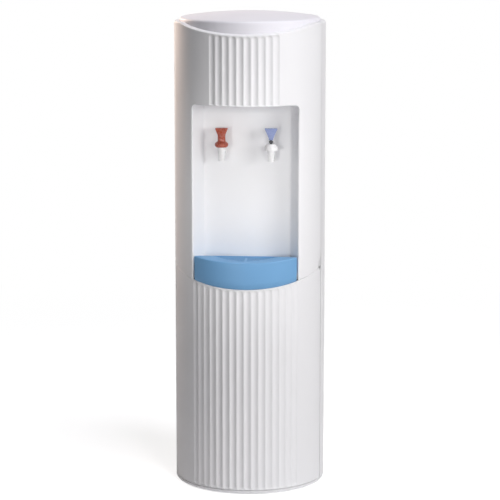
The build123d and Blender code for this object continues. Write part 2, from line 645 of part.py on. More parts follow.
for name, x in (("hot", -tap_x), ("cold", tap_x)):
    tap_plane = Plane(origin=(x, tap_y, 0), x_dir=(1, 0, 0), z_dir=(0, -1, 0))
    tap_axis = Axis((x, tap_y, 0), z_axis)
    shank_plane = Plane(origin=(x, tap_y, shank_z), x_dir=(1, 0, 0), z_dir=(0, 1, 0))

    with BuildPart() as tap_body:
        with BuildSketch(tap_plane):
            Polygon((0, tap_tip_z), (tap_tip_radius, tap_tip_z), (tap_top_radius, tap_joint_z),
                    (0, tap_joint_z), align=None)
        revolve(axis=tap_axis)
        with BuildSketch(shank_plane):
            Circle(shank_radius)
        extrude(amount=shank_end_y - tap_y)
        with BuildSketch(Plane(origin=(x, alcove_back_y, shank_z), x_dir=(1, 0, 0), z_dir=(0, -1, 0))):
            Circle(shank_radius + 4)
        extrude(amount=2)
        with BuildSketch(tap_plane):
            Polygon((0, seat_z + seat_thickness), (5.2, seat_z + seat_thickness), (5.2, tap_joint_z),
                    (0, tap_joint_z), align=None)
            Polygon((0, seat_z), (2.2, seat_z), (2.2, seat_z + seat_thickness),
                    (0, seat_z + seat_thickness), align=None)
            Polygon((0, tap_tip_z), (3.6, tap_tip_z), (3.6, chamber_z), (4.2, chamber_z),
                    (4.2, seat_z), (0, seat_z), align=None)
        revolve(axis=tap_axis, mode=Mode.SUBTRACT)
        with BuildSketch(shank_plane):
            Circle(shank_bore)
        extrude(amount=shank_end_y - tap_y, mode=Mode.SUBTRACT)
    tap_body.part.label = f"{name}_tap_body"
    export_step(tap_body.part, f"parts/{name}_tap_body.step")

    with BuildPart() as tap_bonnet:
        with Locations((x, tap_y, tap_pivot_z)):
            Sphere(bonnet_radius)
        with Locations((x, tap_y, tap_joint_z)):
            Cylinder(2 * bonnet_radius, 2 * bonnet_radius, align=hanging, mode=Mode.SUBTRACT)
        if name == "cold":
            with BuildSketch(tap_plane):
                skirt_low = shank_z + shank_radius + 0.6
                skirt_bore = tap_top_radius + 0.3
                Polygon((0, tap_joint_z), (skirt_bore, tap_joint_z), (skirt_bore, skirt_low),
                        (cold_skirt_radius - 1, skirt_low), (cold_skirt_radius, skirt_low + 1),
                        (cold_skirt_radius - 0.6, tap_pivot_z - 2.5),
                        (cold_skirt_radius - 3, tap_pivot_z + 1),
                        (bonnet_radius - 1, bonnet_top_z), (0, bonnet_top_z), align=None)
            revolve(axis=tap_axis)
        with Locations((x, tap_y, bonnet_top_z)):
            Cylinder(2 * cold_skirt_radius, 2 * bonnet_radius, align=standing, mode=Mode.SUBTRACT)
        with Locations((x, tap_y, tap_joint_z)):
            Cylinder(5.2, 2, align=standing, mode=Mode.SUBTRACT)
        slot_front = lever_hub_radius + 0.6
        slot_back = lever_post_radius / math.cos(math.radians(lever_tilt)) + 0.8
        slot_back += (bonnet_top_z - tap_pivot_z) * math.tan(math.radians(lever_tilt))
        with Locations((x, tap_y - slot_front, tap_pivot_z - lever_hub_radius - 0.2)):
            Box(2 * lever_hub_half + 0.6, slot_front + slot_back, 3 * bonnet_radius,
                align=(Align.CENTER, Align.MIN, Align.MIN), mode=Mode.SUBTRACT)
        with Locations(Location((x, tap_y, tap_pivot_z), (0, 90, 0))):
            Cylinder(lever_pin_radius, 2 * bonnet_radius, mode=Mode.SUBTRACT)
    tap_bonnet.part.label = f"{name}_tap_bonnet"
    export_step(tap_bonnet.part, f"parts/{name}_tap_bonnet.step")

    with BuildPart() as lever:
        with Locations(Location((x, tap_y, tap_pivot_z), (0, 90, 0))):
            Cylinder(lever_hub_radius, 2 * lever_hub_half)
        with Locations((x, tap_y, tap_pivot_z)):
            Cylinder(lever_post_radius, lever_post_top_z - tap_pivot_z, align=standing)
        if name == "cold":
            with Locations((x, tap_y, bonnet_top_z + neck_lift)):
                Cylinder(neck_radius, neck_height - neck_lift, align=standing)
        with Locations(Location((x, tap_y, tap_pivot_z), (0, 90, 0))):
            Cylinder(lever_pin_radius + pin_clearance, 3 * lever_hub_half, mode=Mode.SUBTRACT)
    lever.part.label = f"{name}_lever"
    export_step(lever.part, f"parts/{name}_lever.step")

    with BuildPart() as stem:
        with BuildSketch(tap_plane):
            top = tap_pivot_z - lever_hub_radius - 0.2
            Polygon((0, seat_z - 4), (2.4, seat_z - 4), (2.4, seat_z - 2.4), (stem_radius, seat_z - 2.4),
                    (stem_radius, collar_z), (3.2, collar_z), (3.2, collar_z + 1.5),
                    (stem_radius, collar_z + 1.5), (stem_radius, top), (0, top), align=None)
        revolve(axis=tap_axis)
    stem.part.label = f"{name}_stem"
    export_step(stem.part, f"parts/{name}_stem.step")

    with BuildPart() as seal:
        with BuildSketch(Plane.XY.offset(seat_z - 2.4)):
            with Locations((x, tap_y)):
                Circle(seal_radius)
                Circle(stem_radius, mode=Mode.SUBTRACT)
        extrude(amount=2.2)
    seal.part.label = f"{name}_seal"
    export_step(seal.part, f"parts/{name}_seal.step")

hot_plane = Plane(origin=(-tap_x, tap_y, 0), x_dir=(1, 0, 0), z_dir=(0, -1, 0))
skirt_gap = 0.6
with BuildPart() as hot_handle:
    with BuildSketch(hot_plane):
        with BuildLine():
            base_z = tap_pivot_z - 3.4
            flare_z = handle_top_z - 15
            Line((0, base_z), (12.6, base_z))
            ThreePointArc((12.6, base_z), (15.0, base_z + 4.6), (12.4, base_z + 9.2))
            ThreePointArc((12.4, base_z + 9.2), (9.6, base_z + 11.2), (8.8, base_z + 14.0))
            Line((8.8, base_z + 14.0), (8.8, flare_z + 1))
            Line((8.8, flare_z + 1), (0, flare_z + 1))
            Line((0, flare_z + 1), (0, base_z))
        make_face()
    revolve(axis=Axis((-tap_x, tap_y, 0), z_axis))
    with BuildSketch(Plane.XY.offset(flare_z)):
        with Locations((-tap_x, tap_y)):
            Rectangle(18.4, handle_depth - 1)
    with BuildSketch(Plane.XY.offset(handle_top_z)):
        with Locations((-tap_x, tap_y)):
            Rectangle(handle_width, handle_depth)
    loft()
    with BuildSketch(hot_plane):
        with BuildLine():
            inner = bonnet_radius + skirt_gap
            ceiling = 8.2
            rim = math.sqrt(inner**2 - ceiling**2)
            Line((0, base_z), (inner, base_z))
            Line((inner, base_z), (inner, tap_pivot_z))
            RadiusArc((inner, tap_pivot_z), (rim, tap_pivot_z + ceiling), -inner)
            Line((rim, tap_pivot_z + ceiling), (0, tap_pivot_z + ceiling))
            Line((0, tap_pivot_z + ceiling), (0, base_z))
        make_face()
    revolve(axis=Axis((-tap_x, tap_y, 0), z_axis), mode=Mode.SUBTRACT)
    with Locations((-tap_x, tap_y, tap_pivot_z)):
        Cylinder(lever_post_radius + 0.06, lever_post_top_z + 0.5 - tap_pivot_z,
                 align=standing, mode=Mode.SUBTRACT)
hot_handle.part.label = "hot_handle"
export_step(hot_handle.part, "parts/hot_handle.step")

with BuildPart() as cold_handle:
    with BuildSketch(Plane.XY.offset(bonnet_top_z + neck_height)):
        with Locations((tap_x, tap_y)):
            Rectangle(11.2, handle_depth - 1)
    with BuildSketch(Plane.XY.offset(handle_top_z)):
        with Locations((tap_x, tap_y)):
            Rectangle(handle_width, handle_depth)
    loft()
    with Locations((tap_x, tap_y, bonnet_top_z)):
        Cylinder(lever_post_radius, lever_post_top_z - bonnet_top_z, align=standing, mode=Mode.SUBTRACT)
cold_handle.part.label = "cold_handle"
export_step(cold_handle.part, "parts/cold_handle.step")

with BuildPart() as lever_pins:
    for x in (-tap_x, tap_x):
        with Locations(Location((x, tap_y, tap_pivot_z), (0, 90, 0))):
            Cylinder(lever_pin_radius, 2 * bonnet_radius - 1)
lever_pins.part.label = "lever_pins"
export_step(lever_pins.part, "parts/lever_pins.step")

with BuildPart() as tap_springs:
    for x in (-tap_x, tap_x):
        with BuildSketch(Plane.XY.offset(seat_z + seat_thickness)):
            with Locations((x, tap_y)):
                Circle(3.4)
                Circle(stem_radius + 0.4, mode=Mode.SUBTRACT)
        extrude(amount=collar_z - seat_z - seat_thickness)
tap_springs.part.label = "tap_springs"
export_step(tap_springs.part, "parts/tap_springs.step")

with BuildPart() as tap_nuts:
    for x in (-tap_x, tap_x):
        nut_seat = (x, alcove_back_y + alcove_wall, shank_z)
        with BuildSketch(Plane(origin=nut_seat, x_dir=(1, 0, 0), z_dir=(0, 1, 0))):
            RegularPolygon(radius=shank_radius + 5, side_count=6)
            Circle(shank_radius, mode=Mode.SUBTRACT)
        extrude(amount=6)
tap_nuts.part.label = "tap_nuts"
export_step(tap_nuts.part, "parts/tap_nuts.step")

# ---------------------------------------------------------------- tanks
feed_x, feed_y = hot_x + 30, hot_y - 5
pipe_radius = 4.0
hot_pipe_y = shank_end_y + 6.0
pump_x, pump_y = polar(body_radius - 49.2, -75.5)
hose_top_x, hose_top_y = pump_x + 11, pump_y - 13

with BuildPart() as tank_shelf:
    with BuildSketch(Plane.XY.offset(shelf_z - deck_thickness)):
        Circle(deck_radius)
        with Locations((0, body_radius + back_inner_y - 0.4)):
            Rectangle(2 * body_radius, 2 * body_radius, mode=Mode.SUBTRACT)
        with Locations((0, alcove_back_y + alcove_wall + 0.5 - body_radius)):
            Rectangle(2 * body_radius, 2 * body_radius, mode=Mode.SUBTRACT)
        with Locations((feed_x, feed_y), (-tap_x, hot_pipe_y), (hose_top_x, hose_top_y)):
            Circle(pipe_radius, mode=Mode.SUBTRACT)
    extrude(amount=deck_thickness)
tank_shelf.part.label = "tank_shelf"
export_step(tank_shelf.part, "parts/tank_shelf.step")

with BuildPart() as cold_tank:
    with BuildSketch(Plane.XY.offset(tank_bottom_z)):
        with Locations((0, tank_y)):
            Circle(tank_radius)
    extrude(amount=tank_top_z - tank_bottom_z)
    offset(openings=cold_tank.faces().sort_by(Axis.Z)[-1], amount=-1.5)
cold_tank.part.label = "cold_tank"
export_step(cold_tank.part, "parts/cold_tank.step")

sleeve_thickness = 3.0
with BuildPart() as evaporator:
    with BuildSketch(Plane.XY.offset(tank_bottom_z + 4)):
        with Locations((0, tank_y)):
            Circle(tank_radius + sleeve_thickness)
            Circle(tank_radius, mode=Mode.SUBTRACT)
    extrude(amount=shank_z - 14 - tank_bottom_z)
evaporator.part.label = "evaporator"
export_step(evaporator.part, "parts/evaporator.step")

with BuildPart() as tank_foam:
    with BuildSketch(Plane.XY.offset(shelf_z)):
        with Locations((0, tank_y)):
            Circle(foam_radius)
    extrude(amount=tank_top_z - shelf_z)
    with BuildSketch(Plane.XY.offset(tank_bottom_z)):
        with Locations((0, tank_y)):
            Circle(tank_radius + sleeve_thickness)
    extrude(amount=tank_top_z - tank_bottom_z, mode=Mode.SUBTRACT)
    with Locations((feed_x, feed_y, shelf_z)):
        Cylinder(pipe_radius, 30, mode=Mode.SUBTRACT)
    with BuildSketch(Plane(origin=(tap_x, shank_end_y, shank_z), x_dir=(1, 0, 0), z_dir=(0, 1, 0))):
        Circle(pipe_radius)
    extrude(amount=tank_y - shank_end_y, mode=Mode.SUBTRACT)
    with Locations((0, tank_y, shelf_z)):
        Box(0.4, 4 * foam_radius, 3 * foam_radius, align=standing, mode=Mode.SUBTRACT)
tank_foam.part.label = "tank_foam"
export_step(tank_foam.part, "parts/tank_foam.step")

lid_inlet_x, lid_inlet_y = -35.0, tank_y - 17
with BuildPart() as tank_lid:
    with BuildSketch(Plane.XY.offset(tank_top_z)):
        with Locations((0, tank_y)):
            Circle(foam_radius + 2)
        with Locations((lid_inlet_x, lid_inlet_y)):
            Circle(pipe_radius, mode=Mode.SUBTRACT)
    extrude(amount=10)
    fillet(tank_lid.edges().group_by(Axis.Z)[-1].sort_by(SortBy.LENGTH)[-1], 3)
tank_lid.part.label = "tank_lid"
export_step(tank_lid.part, "parts/tank_lid.step")

with BuildPart() as hot_tank:
    with Locations((hot_x, hot_y, deck_z + 10)):
        Cylinder(hot_radius, hot_top_z - deck_z - 10, align=standing)
    fillet(hot_tank.edges().filter_by(GeomType.CIRCLE), 8)
hot_tank.part.label = "hot_tank"
export_step(hot_tank.part, "parts/hot_tank.step")

with BuildPart() as hot_jacket:
    with Locations((hot_x, hot_y, deck_z)):
        Cylinder(hot_radius + 3, hot_top_z - deck_z - 12, align=standing)
    add(hot_tank.part, mode=Mode.SUBTRACT)
hot_jacket.part.label = "hot_jacket"
export_step(hot_jacket.part, "parts/hot_jacket.step")


def tube(label, radius, points, bend):
    """Round tube along straight runs joined by bends of one radius."""
    with BuildPart() as run:
        with BuildLine() as path:
            if len(points) > 2:
                FilletPolyline(*points, radius=bend)
            else:
                Polyline(*points)
        with BuildSketch(Plane(origin=path.line @ 0, z_dir=path.line % 0)):
            Circle(radius)
        sweep(path=path.line)
    run.part.label = label
    return run.part


hot_outlet_run = tube("hot_outlet_run", pipe_radius, [
    (-tap_x, shank_end_y, shank_z), (-tap_x, hot_pipe_y, shank_z), (-tap_x, hot_pipe_y, hot_top_z + 26),
    (hot_x, hot_y - 12, hot_top_z + 26), (hot_x, hot_y - 12, hot_top_z)], pipe_radius + 1.8)
with BuildPart() as hot_pipes:
    add(hot_outlet_run)
    with Locations((feed_x, feed_y, hot_top_z)):
        Cylinder(pipe_radius, tank_bottom_z - hot_top_z, align=standing)
hot_pipes.part.label = "hot_pipes"
export_step(hot_pipes.part, "parts/hot_pipes.step")

with BuildPart() as cold_outlet_pipe:
    with BuildSketch(Plane(origin=(tap_x, shank_end_y, shank_z), x_dir=(1, 0, 0), z_dir=(0, 1, 0))):
        Circle(pipe_radius)
    extrude(amount=tank_y - shank_end_y)
    with Locations((0, tank_y, tank_bottom_z)):
        Cylinder(tank_radius, tank_top_z - tank_bottom_z, align=standing, mode=Mode.SUBTRACT)
cold_outlet_pipe.part.label = "cold_outlet_pipe"
export_step(cold_outlet_pipe.part, "parts/cold_outlet_pipe.step")


# ---------------------------------------------------------------- pump, probe and hoses
pump_width, pump_length, pump_height = 36.0, 36.0, 38.0
pump_inlet_z = deck_z + 20.0
with BuildPart() as water_pump:
    with Locations((pump_x, pump_y, deck_z)):
        Box(pump_width, pump_length, pump_height, align=standing)
    fillet(water_pump.edges().filter_by(Axis.Z), 5)
    with Locations((pump_x - 2, pump_y + 3, deck_z + pump_height)):
        Cylinder(13, 46, align=standing)
    fillet(water_pump.edges().sort_by(Axis.Z)[-1], 3)
water_pump.part.label = "water_pump"
export_step(water_pump.part, "parts/water_pump.step")

probe_cap_top = deck_z - deck_thickness - 12.0
probe_hose = tube("probe_hose", hose_radius, [
    (hose_x, hose_y, probe_cap_top), (hose_x, hose_y, pump_inlet_z),
    (hose_x, pump_y + pump_length / 2, pump_inlet_z)], 18)
export_step(probe_hose, "parts/probe_hose.step")

fill_hose = tube("fill_hose", pipe_radius, [
    (hose_top_x, hose_top_y, deck_z + pump_height), (hose_top_x, hose_top_y, tank_top_z + 40),
    (lid_inlet_x, lid_inlet_y, tank_top_z + 40), (lid_inlet_x, lid_inlet_y, tank_top_z)], 22)
export_step(fill_hose, "parts/fill_hose.step")

with BuildPart() as probe_cap:
    with BuildSketch(Plane(origin=(hose_x, hose_y, 0), x_dir=(1, 0, 0), z_dir=(0, -1, 0))):
        with BuildLine():
            cap_low = probe_cap_top - 34.0
            Polyline((0, cap_low), (25, cap_low), (25, cap_low + 20), (10, probe_cap_top - 6),
                     (10, probe_cap_top), (0, probe_cap_top), (0, cap_low))
        make_face()
    revolve(axis=Axis((hose_x, hose_y, 0), z_axis))
    fillet(probe_cap.edges().group_by(Axis.Z)[0], 2)
probe_cap.part.label = "probe_cap"
export_step(probe_cap.part, "parts/probe_cap.step")

probe_length = 340.0
with BuildPart() as probe_tube:
    with Locations((hose_x, hose_y, cap_low)):
        Cylinder(6, probe_length, align=hanging)
        Cylinder(2.5, probe_length, align=hanging, mode=Mode.SUBTRACT)
    chamfer(probe_tube.edges().group_by(Axis.Z)[0].sort_by(SortBy.LENGTH)[-1], 3)
probe_tube.part.label = "probe_tube"
export_step(probe_tube.part, "parts/probe_tube.step")

# clip on the shell that parks the probe between bottles
clip_angle = math.degrees(math.atan2(hose_x, -hose_y))
clip_reach = math.hypot(hose_x, hose_y)
with BuildPart() as probe_clip:
    with BuildSketch(Plane(origin=(0, 0, cap_low - 60), x_dir=(*polar(1, clip_angle), 0), z_dir=z_axis)):
        with Locations((clip_reach, 0)):
            Circle(9)
        with Locations(((clip_reach + body_radius - shell_wall - 0.3) / 2, 0)):
            Rectangle(body_radius - shell_wall - 0.3 - clip_reach, 10)
        with Locations((clip_reach, 0)):
            Circle(6, mode=Mode.SUBTRACT)
        with Locations((clip_reach - 9, 0)):
            Rectangle(10, 9, mode=Mode.SUBTRACT)
    extrude(amount=12)
probe_clip.part.label = "probe_clip"
export_step(probe_clip.part, "parts/probe_clip.step")

# ---------------------------------------------------------------- refrigeration
comp_radius = 62.0
comp_x, comp_y = 56.0, back_inner_y - 18 - comp_radius
comp_low, comp_high = deck_z + 12.0, deck_z + 176.0
comp_seam_z = comp_low + 78.0
grommet_places = [(comp_x + i * 46, comp_y + j * 42) for i in (-1, 1) for j in (-1, 1)]
with BuildPart() as compressor:
    with Locations((comp_x, comp_y, comp_low)):
        Cylinder(comp_radius, comp_seam_z - comp_low, align=standing)
    fillet(compressor.edges().group_by(Axis.Z)[0], 18)
    with Locations((comp_x, comp_y, comp_seam_z)):
        Cylinder(comp_radius - 2, comp_high - comp_seam_z, align=standing)
    fillet(compressor.edges().sort_by(Axis.Z)[-1], 30)
    with Locations((comp_x, comp_y, comp_seam_z - 3)):
        Cylinder(comp_radius + 3.5, 6, align=standing)
    with BuildSketch(Plane.XY.offset(comp_low - 3)):
        with Locations((comp_x, comp_y)):
            RectangleRounded(112, 104, 12)
        with Locations(*grommet_places):
            Circle(4, mode=Mode.SUBTRACT)
    extrude(amount=3)
compressor.part.label = "compressor"
export_step(compressor.part, "parts/compressor.step")

with BuildPart() as compressor_grommets:
    for x, y in grommet_places:
        with Locations((x, y, deck_z)):
            Cylinder(8, comp_low - 3 - deck_z, align=standing)
            Cylinder(4, comp_low + 3 - deck_z, align=standing)
compressor_grommets.part.label = "compressor_grommets"
export_step(compressor_grommets.part, "parts/compressor_grommets.step")

coil_y = back_flat_y + 9.0
coil_radius = 2.4
coil_half = 84.0
coil_pitch = 44.0
coil_low = deck_z + 79
coil_runs = 9
coil_points = []
for i in range(coil_runs):
    side = 1 if i % 2 == 0 else -1
    z = coil_low + i * coil_pitch
    coil_points += [(-side * coil_half, coil_y, z), (side * coil_half, coil_y, z)]
coil_end = coil_half - 4.0
coil_points = coil_points[1:-1]
coil_points = [(-coil_end, back_flat_y, coil_low), (-coil_end, coil_y, coil_low)] + coil_points
coil_points += [(side * coil_end, coil_y, z), (side * coil_end, back_flat_y, z)]
bends = [5.0] + [coil_pitch / 2 - 0.5] * (len(coil_points) - 4) + [5.0]
with BuildPart() as condenser_tube:
    with BuildLine() as coil_path:
        FilletPolyline(*coil_points, radius=bends)
    with BuildSketch(Plane(origin=coil_path.line @ 0, z_dir=coil_path.line % 0)):
        Circle(coil_radius)
    sweep(path=coil_path.line)
condenser_tube.part.label = "condenser_tube"
export_step(condenser_tube.part, "parts/condenser_tube.step")

bracket_x = 59.3
wire_radius = 0.9
wire_count = 18
wire_pitch = 2 * (coil_half - 12) / (wire_count - 1)
wire_length = (coil_runs - 1) * coil_pitch + 24
with BuildPart() as condenser_wires:
    for side in (-1, 1):
        y = coil_y + side * (coil_radius + wire_radius)
        for i in range(wire_count):
            with Locations(((i - (wire_count - 1) / 2) * wire_pitch, y, coil_low - 12)):
                Box(2 * wire_radius, 2 * wire_radius, wire_length, align=standing)
condenser_wires.part.label = "condenser_wires"
export_step(condenser_wires.part, "parts/condenser_wires.step")

with BuildPart() as condenser_brackets:
    for x in (-bracket_x, bracket_x):
        for z in (coil_low + coil_pitch, coil_low + (coil_runs - 2) * coil_pitch):
            with BuildSketch(Plane(origin=(x, 0, z), x_dir=(0, 1, 0), z_dir=(1, 0, 0))):
                with Locations(((back_flat_y + coil_y) / 2 + 1, 0)):
                    Rectangle(coil_y - back_flat_y + 2, 12)
                with Locations((coil_y, 0)):
                    Circle(4.5)
                    Circle(coil_radius, mode=Mode.SUBTRACT)
            extrude(amount=2, both=True)
condenser_brackets.part.label = "condenser_brackets"
export_step(condenser_brackets.part, "parts/condenser_brackets.step")

drier_x, drier_y, drier_z = -10.0, back_inner_y - 14, deck_z + 99
with BuildPart() as filter_drier:
    with BuildSketch(Plane(origin=(drier_x, drier_y, 0), x_dir=(1, 0, 0), z_dir=(0, -1, 0))):
        with BuildLine():
            Polyline((0, drier_z), (2.5, drier_z), (2.5, drier_z + 12), (9.5, drier_z + 22),
                     (9.5, drier_z + 78), (2.5, drier_z + 88), (2.5, drier_z + 100), (0, drier_z + 100),
                     (0, drier_z))
        make_face()
    revolve(axis=Axis((drier_x, drier_y, 0), z_axis))
    with Locations((drier_x, (drier_y + back_inner_y) / 2, drier_z + 50)):
        Box(6, back_inner_y - drier_y, 10)
filter_drier.part.label = "filter_drier"
export_step(filter_drier.part, "parts/filter_drier.step")

# ---------------------------------------------------------------- electrical
control_width, control_depth, control_height = 130.0, 26.0, 44.0
rocker_half = 7.0
rocker_half_height = 9.0
rocker_pivot_y = back_flat_y - 1.0
rocker_tilt = 8.0
switch_places = (("hot", bezel_x - 18), ("cold", bezel_x + 18))
knob_radius = 11.0

with BuildPart() as control_box:
    with Locations((0, back_inner_y, control_z)):
        Box(control_width, control_depth, control_height, align=(Align.CENTER, Align.MAX, Align.CENTER))
    with Locations((bezel_x, back_inner_y, control_z)):
        Box(bezel_width, shell_wall + 2, bezel_height, align=(Align.CENTER, Align.MIN, Align.CENTER))
    for name, x in switch_places:
        with Locations((x, back_inner_y - 4, control_z)):
            Box(2 * rocker_half + 0.8, 20, 2 * rocker_half_height + 1.8,
                align=(Align.CENTER, Align.MIN, Align.CENTER), mode=Mode.SUBTRACT)
    with Locations(Location((knob_x, back_inner_y - 0.5, control_z), (-90, 0, 0))):
        Cylinder(spindle_radius, 9, align=standing)
control_box.part.label = "control_box"
export_step(control_box.part, "parts/control_box.step")

for name, x in switch_places:
    rest = math.radians(-rocker_tilt)
    leaning = (0, math.cos(rest), math.sin(rest))
    pivot = Plane(origin=(x, rocker_pivot_y, control_z), x_dir=leaning, z_dir=(1, 0, 0))
    with BuildPart() as rocker:
        with BuildSketch(pivot):
            slope = rocker_half_height * math.tan(math.radians(rocker_tilt))
            Polygon((-1.5, -rocker_half_height + 1), (4.5 + slope, -rocker_half_height), (4.5, 0),
                    (4.5 + slope, rocker_half_height), (-1.5, rocker_half_height - 1), (-4.0, 0),
                    align=None)
        extrude(amount=rocker_half, both=True)
    rocker.part.label = f"{name}_switch"
    export_step(rocker.part, f"parts/{name}_switch.step")

with BuildPart() as thermostat_knob:
    knob_foot = (knob_x, back_flat_y + 0.4, control_z)
    with BuildSketch(Plane(origin=knob_foot, x_dir=(1, 0, 0), z_dir=(0, 1, 0))):
        Circle(knob_radius)
    extrude(amount=10, taper=4)
    with Locations((knob_x, back_flat_y + 10.4, control_z)):
        Box(2, 3, 2 * knob_radius, mode=Mode.SUBTRACT)
    with Locations(Location((knob_x, back_flat_y, control_z), (-90, 0, 0))):
        Cylinder(spindle_radius + pin_clearance, 8, align=standing, mode=Mode.SUBTRACT)
thermostat_knob.part.label = "thermostat_knob"
export_step(thermostat_knob.part, "parts/thermostat_knob.step")

with BuildPart() as cable_gland:
    gland_start = (gland_x, back_inner_y - 4, gland_z)
    gland_plane = Plane(origin=gland_start, x_dir=(1, 0, 0), z_dir=(0, 1, 0))
    with BuildSketch(gland_plane):
        Circle(gland_radius)
    extrude(amount=shell_wall + 16)
    with BuildSketch(Plane(origin=(gland_x, back_flat_y, gland_z), x_dir=(1, 0, 0), z_dir=(0, 1, 0))):
        RegularPolygon(radius=11, side_count=6)
    extrude(amount=5)
    with BuildSketch(gland_plane):
        Circle(gland_bore)
    extrude(amount=shell_wall + 16, mode=Mode.SUBTRACT)
cable_gland.part.label = "cable_gland"
export_step(cable_gland.part, "parts/cable_gland.step")

with BuildPart() as drain_outlet:
    drain_plane = Plane(origin=(drain_x, hot_y + hot_radius + 4, drain_z), x_dir=(1, 0, 0), z_dir=(0, 1, 0))
    with BuildSketch(drain_plane):
        Circle(drain_radius)
    extrude(amount=back_flat_y + 12 - hot_y - hot_radius - 4)
    with BuildSketch(Plane(origin=(drain_x, back_flat_y, drain_z), x_dir=(1, 0, 0), z_dir=(0, 1, 0))):
        Circle(drain_radius + 4)
    extrude(amount=2)
    with BuildSketch(drain_plane):
        Circle(drain_radius - 2.5)
    extrude(amount=back_flat_y + 12 - hot_y - hot_radius - 4, mode=Mode.SUBTRACT)
drain_outlet.part.label = "drain_outlet"
export_step(drain_outlet.part, "parts/drain_outlet.step")

with BuildPart() as drain_cap:
    cap_plane = Plane(origin=(drain_x, back_flat_y + 3, drain_z), x_dir=(1, 0, 0), z_dir=(0, 1, 0))
    with BuildSketch(cap_plane):
        Circle(drain_radius + 3)
    extrude(amount=12)
    fillet(drain_cap.edges().group_by(Axis.Y)[-1], 1.5)
    with BuildSketch(cap_plane):
        Circle(drain_radius + 0.08)
    extrude(amount=9.3, mode=Mode.SUBTRACT)
drain_cap.part.label = "drain_cap"
export_step(drain_cap.part, "parts/drain_cap.step")

screw_heights = (door_bottom_z + 48.4, deck_z - 211, deck_z - 21, control_z - 25)
screw_places = [(side * (back_flat_y - 25), z) for side in (-1, 1) for z in screw_heights]
with BuildPart() as panel_screws:
    for x, z in screw_places:
        with BuildSketch(Plane(origin=(x, back_flat_y, z), x_dir=(1, 0, 0), z_dir=(0, 1, 0))):
            Circle(4)
        extrude(amount=2)
panel_screws.part.label = "panel_screws"
export_step(panel_screws.part, "parts/panel_screws.step")
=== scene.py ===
# %% [markdown]
# # A bottom-load water cooler, dressed in Blender
# The construction of the cooler comes in as a fixed frame: every piece stands where it was built, in
# metres, with the floor at z = 0 and the taps looking along -Y. This file gives the surfaces that a
# person sees their finish, and replaces the large mouldings with finer surfaces worked out by formula,
# because a fluted wall shows every facet of a coarse mesh.

# %% Load the frame
import json
import math

import bmesh
import bpy
import numpy as np
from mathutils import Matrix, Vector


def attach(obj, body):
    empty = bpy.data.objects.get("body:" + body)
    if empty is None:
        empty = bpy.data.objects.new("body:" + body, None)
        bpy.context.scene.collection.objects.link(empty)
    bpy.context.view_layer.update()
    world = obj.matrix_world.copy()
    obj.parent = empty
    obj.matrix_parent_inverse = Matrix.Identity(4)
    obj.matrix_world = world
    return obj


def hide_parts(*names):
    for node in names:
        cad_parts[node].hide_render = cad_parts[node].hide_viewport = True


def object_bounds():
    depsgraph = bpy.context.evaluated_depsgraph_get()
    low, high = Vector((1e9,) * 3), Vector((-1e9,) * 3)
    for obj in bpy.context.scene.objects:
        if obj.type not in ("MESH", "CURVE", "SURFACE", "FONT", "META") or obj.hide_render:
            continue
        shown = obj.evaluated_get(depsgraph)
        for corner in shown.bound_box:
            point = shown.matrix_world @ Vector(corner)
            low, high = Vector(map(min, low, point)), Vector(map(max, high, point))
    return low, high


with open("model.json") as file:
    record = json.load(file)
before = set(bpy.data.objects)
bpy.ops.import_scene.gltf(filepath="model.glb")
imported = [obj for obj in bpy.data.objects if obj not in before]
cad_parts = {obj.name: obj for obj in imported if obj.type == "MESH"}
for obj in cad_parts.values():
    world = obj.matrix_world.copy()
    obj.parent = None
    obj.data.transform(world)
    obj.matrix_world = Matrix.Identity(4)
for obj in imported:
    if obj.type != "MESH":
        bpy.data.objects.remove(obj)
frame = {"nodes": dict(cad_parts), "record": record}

cad_box = [list(corner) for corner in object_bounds()]
nodes = frame["nodes"]
print("frame", len(nodes), "nodes, box", np.round(cad_box, 4).tolist())

# %% [markdown]
# ## The camera
# The picture is taken with a long lens from about five metres away and a little above the lid, which
# keeps the cabinet's sides nearly parallel. A short lens from nearby would make them lean together. The
# camera stands slightly to the right of the middle, so a sliver more of the right-hand wall shows.

# %% The camera
camera_distance = 4.979
camera_height = 1.408
camera_turn = math.radians(4.70)
camera_pitch = math.radians(10.03)
camera_lens = 160.7

camera_data = bpy.data.cameras.new("camera")
camera_data.lens = camera_lens
camera_data.sensor_width = 36.0
camera = bpy.data.objects.new("camera", camera_data)
camera.location = (camera_distance * math.sin(camera_turn), -camera_distance * math.cos(camera_turn),
                   camera_height)
camera.rotation_euler = (math.pi / 2 - camera_pitch, 0.0, camera_turn)
bpy.context.scene.collection.objects.link(camera)
bpy.context.scene.camera = camera
bpy.context.scene.view_settings.view_transform = "Standard"
print("camera at", [round(v, 3) for v in camera.location], "lens", camera_lens, "mm")

# %% [markdown]
# ## Nodes
# Every finish, the floor and the sky are small trees of shader nodes. A helper that makes a node, types
# in its values and links its sockets in one call keeps each tree as short as a recipe.

# %% One node at a time
def empty_material(name):
    """A new material whose node tree has nothing in it yet."""
    material = bpy.data.materials.new(name)
    material.use_nodes = True
    material.node_tree.nodes.clear()
    return material


def add(tree, kind, inputs, **choices):
    """New node in a tree. An input given a socket is linked to it, and any other value is typed in."""
    made = tree.nodes.new("ShaderNode" + kind)
    for choice, value in choices.items():
        setattr(made, choice, value)
    for place, value in inputs.items():
        if isinstance(value, bpy.types.NodeSocket):
            tree.links.new(value, made.inputs[place])
        else:
            made.inputs[place].default_value = value
    return made


def only_seen(tree):
    """Socket that is 1 for camera, glossy and transmission rays and 0 for the rays of diffuse light."""
    rays = add(tree, "LightPath", {}).outputs
    first = add(tree, "Math", {0: rays["Is Camera Ray"], 1: rays["Is Glossy Ray"]}, operation="MAXIMUM")
    both = add(tree, "Math", {0: first.outputs[0], 1: rays["Is Transmission Ray"]}, operation="MAXIMUM")
    return both.outputs[0]


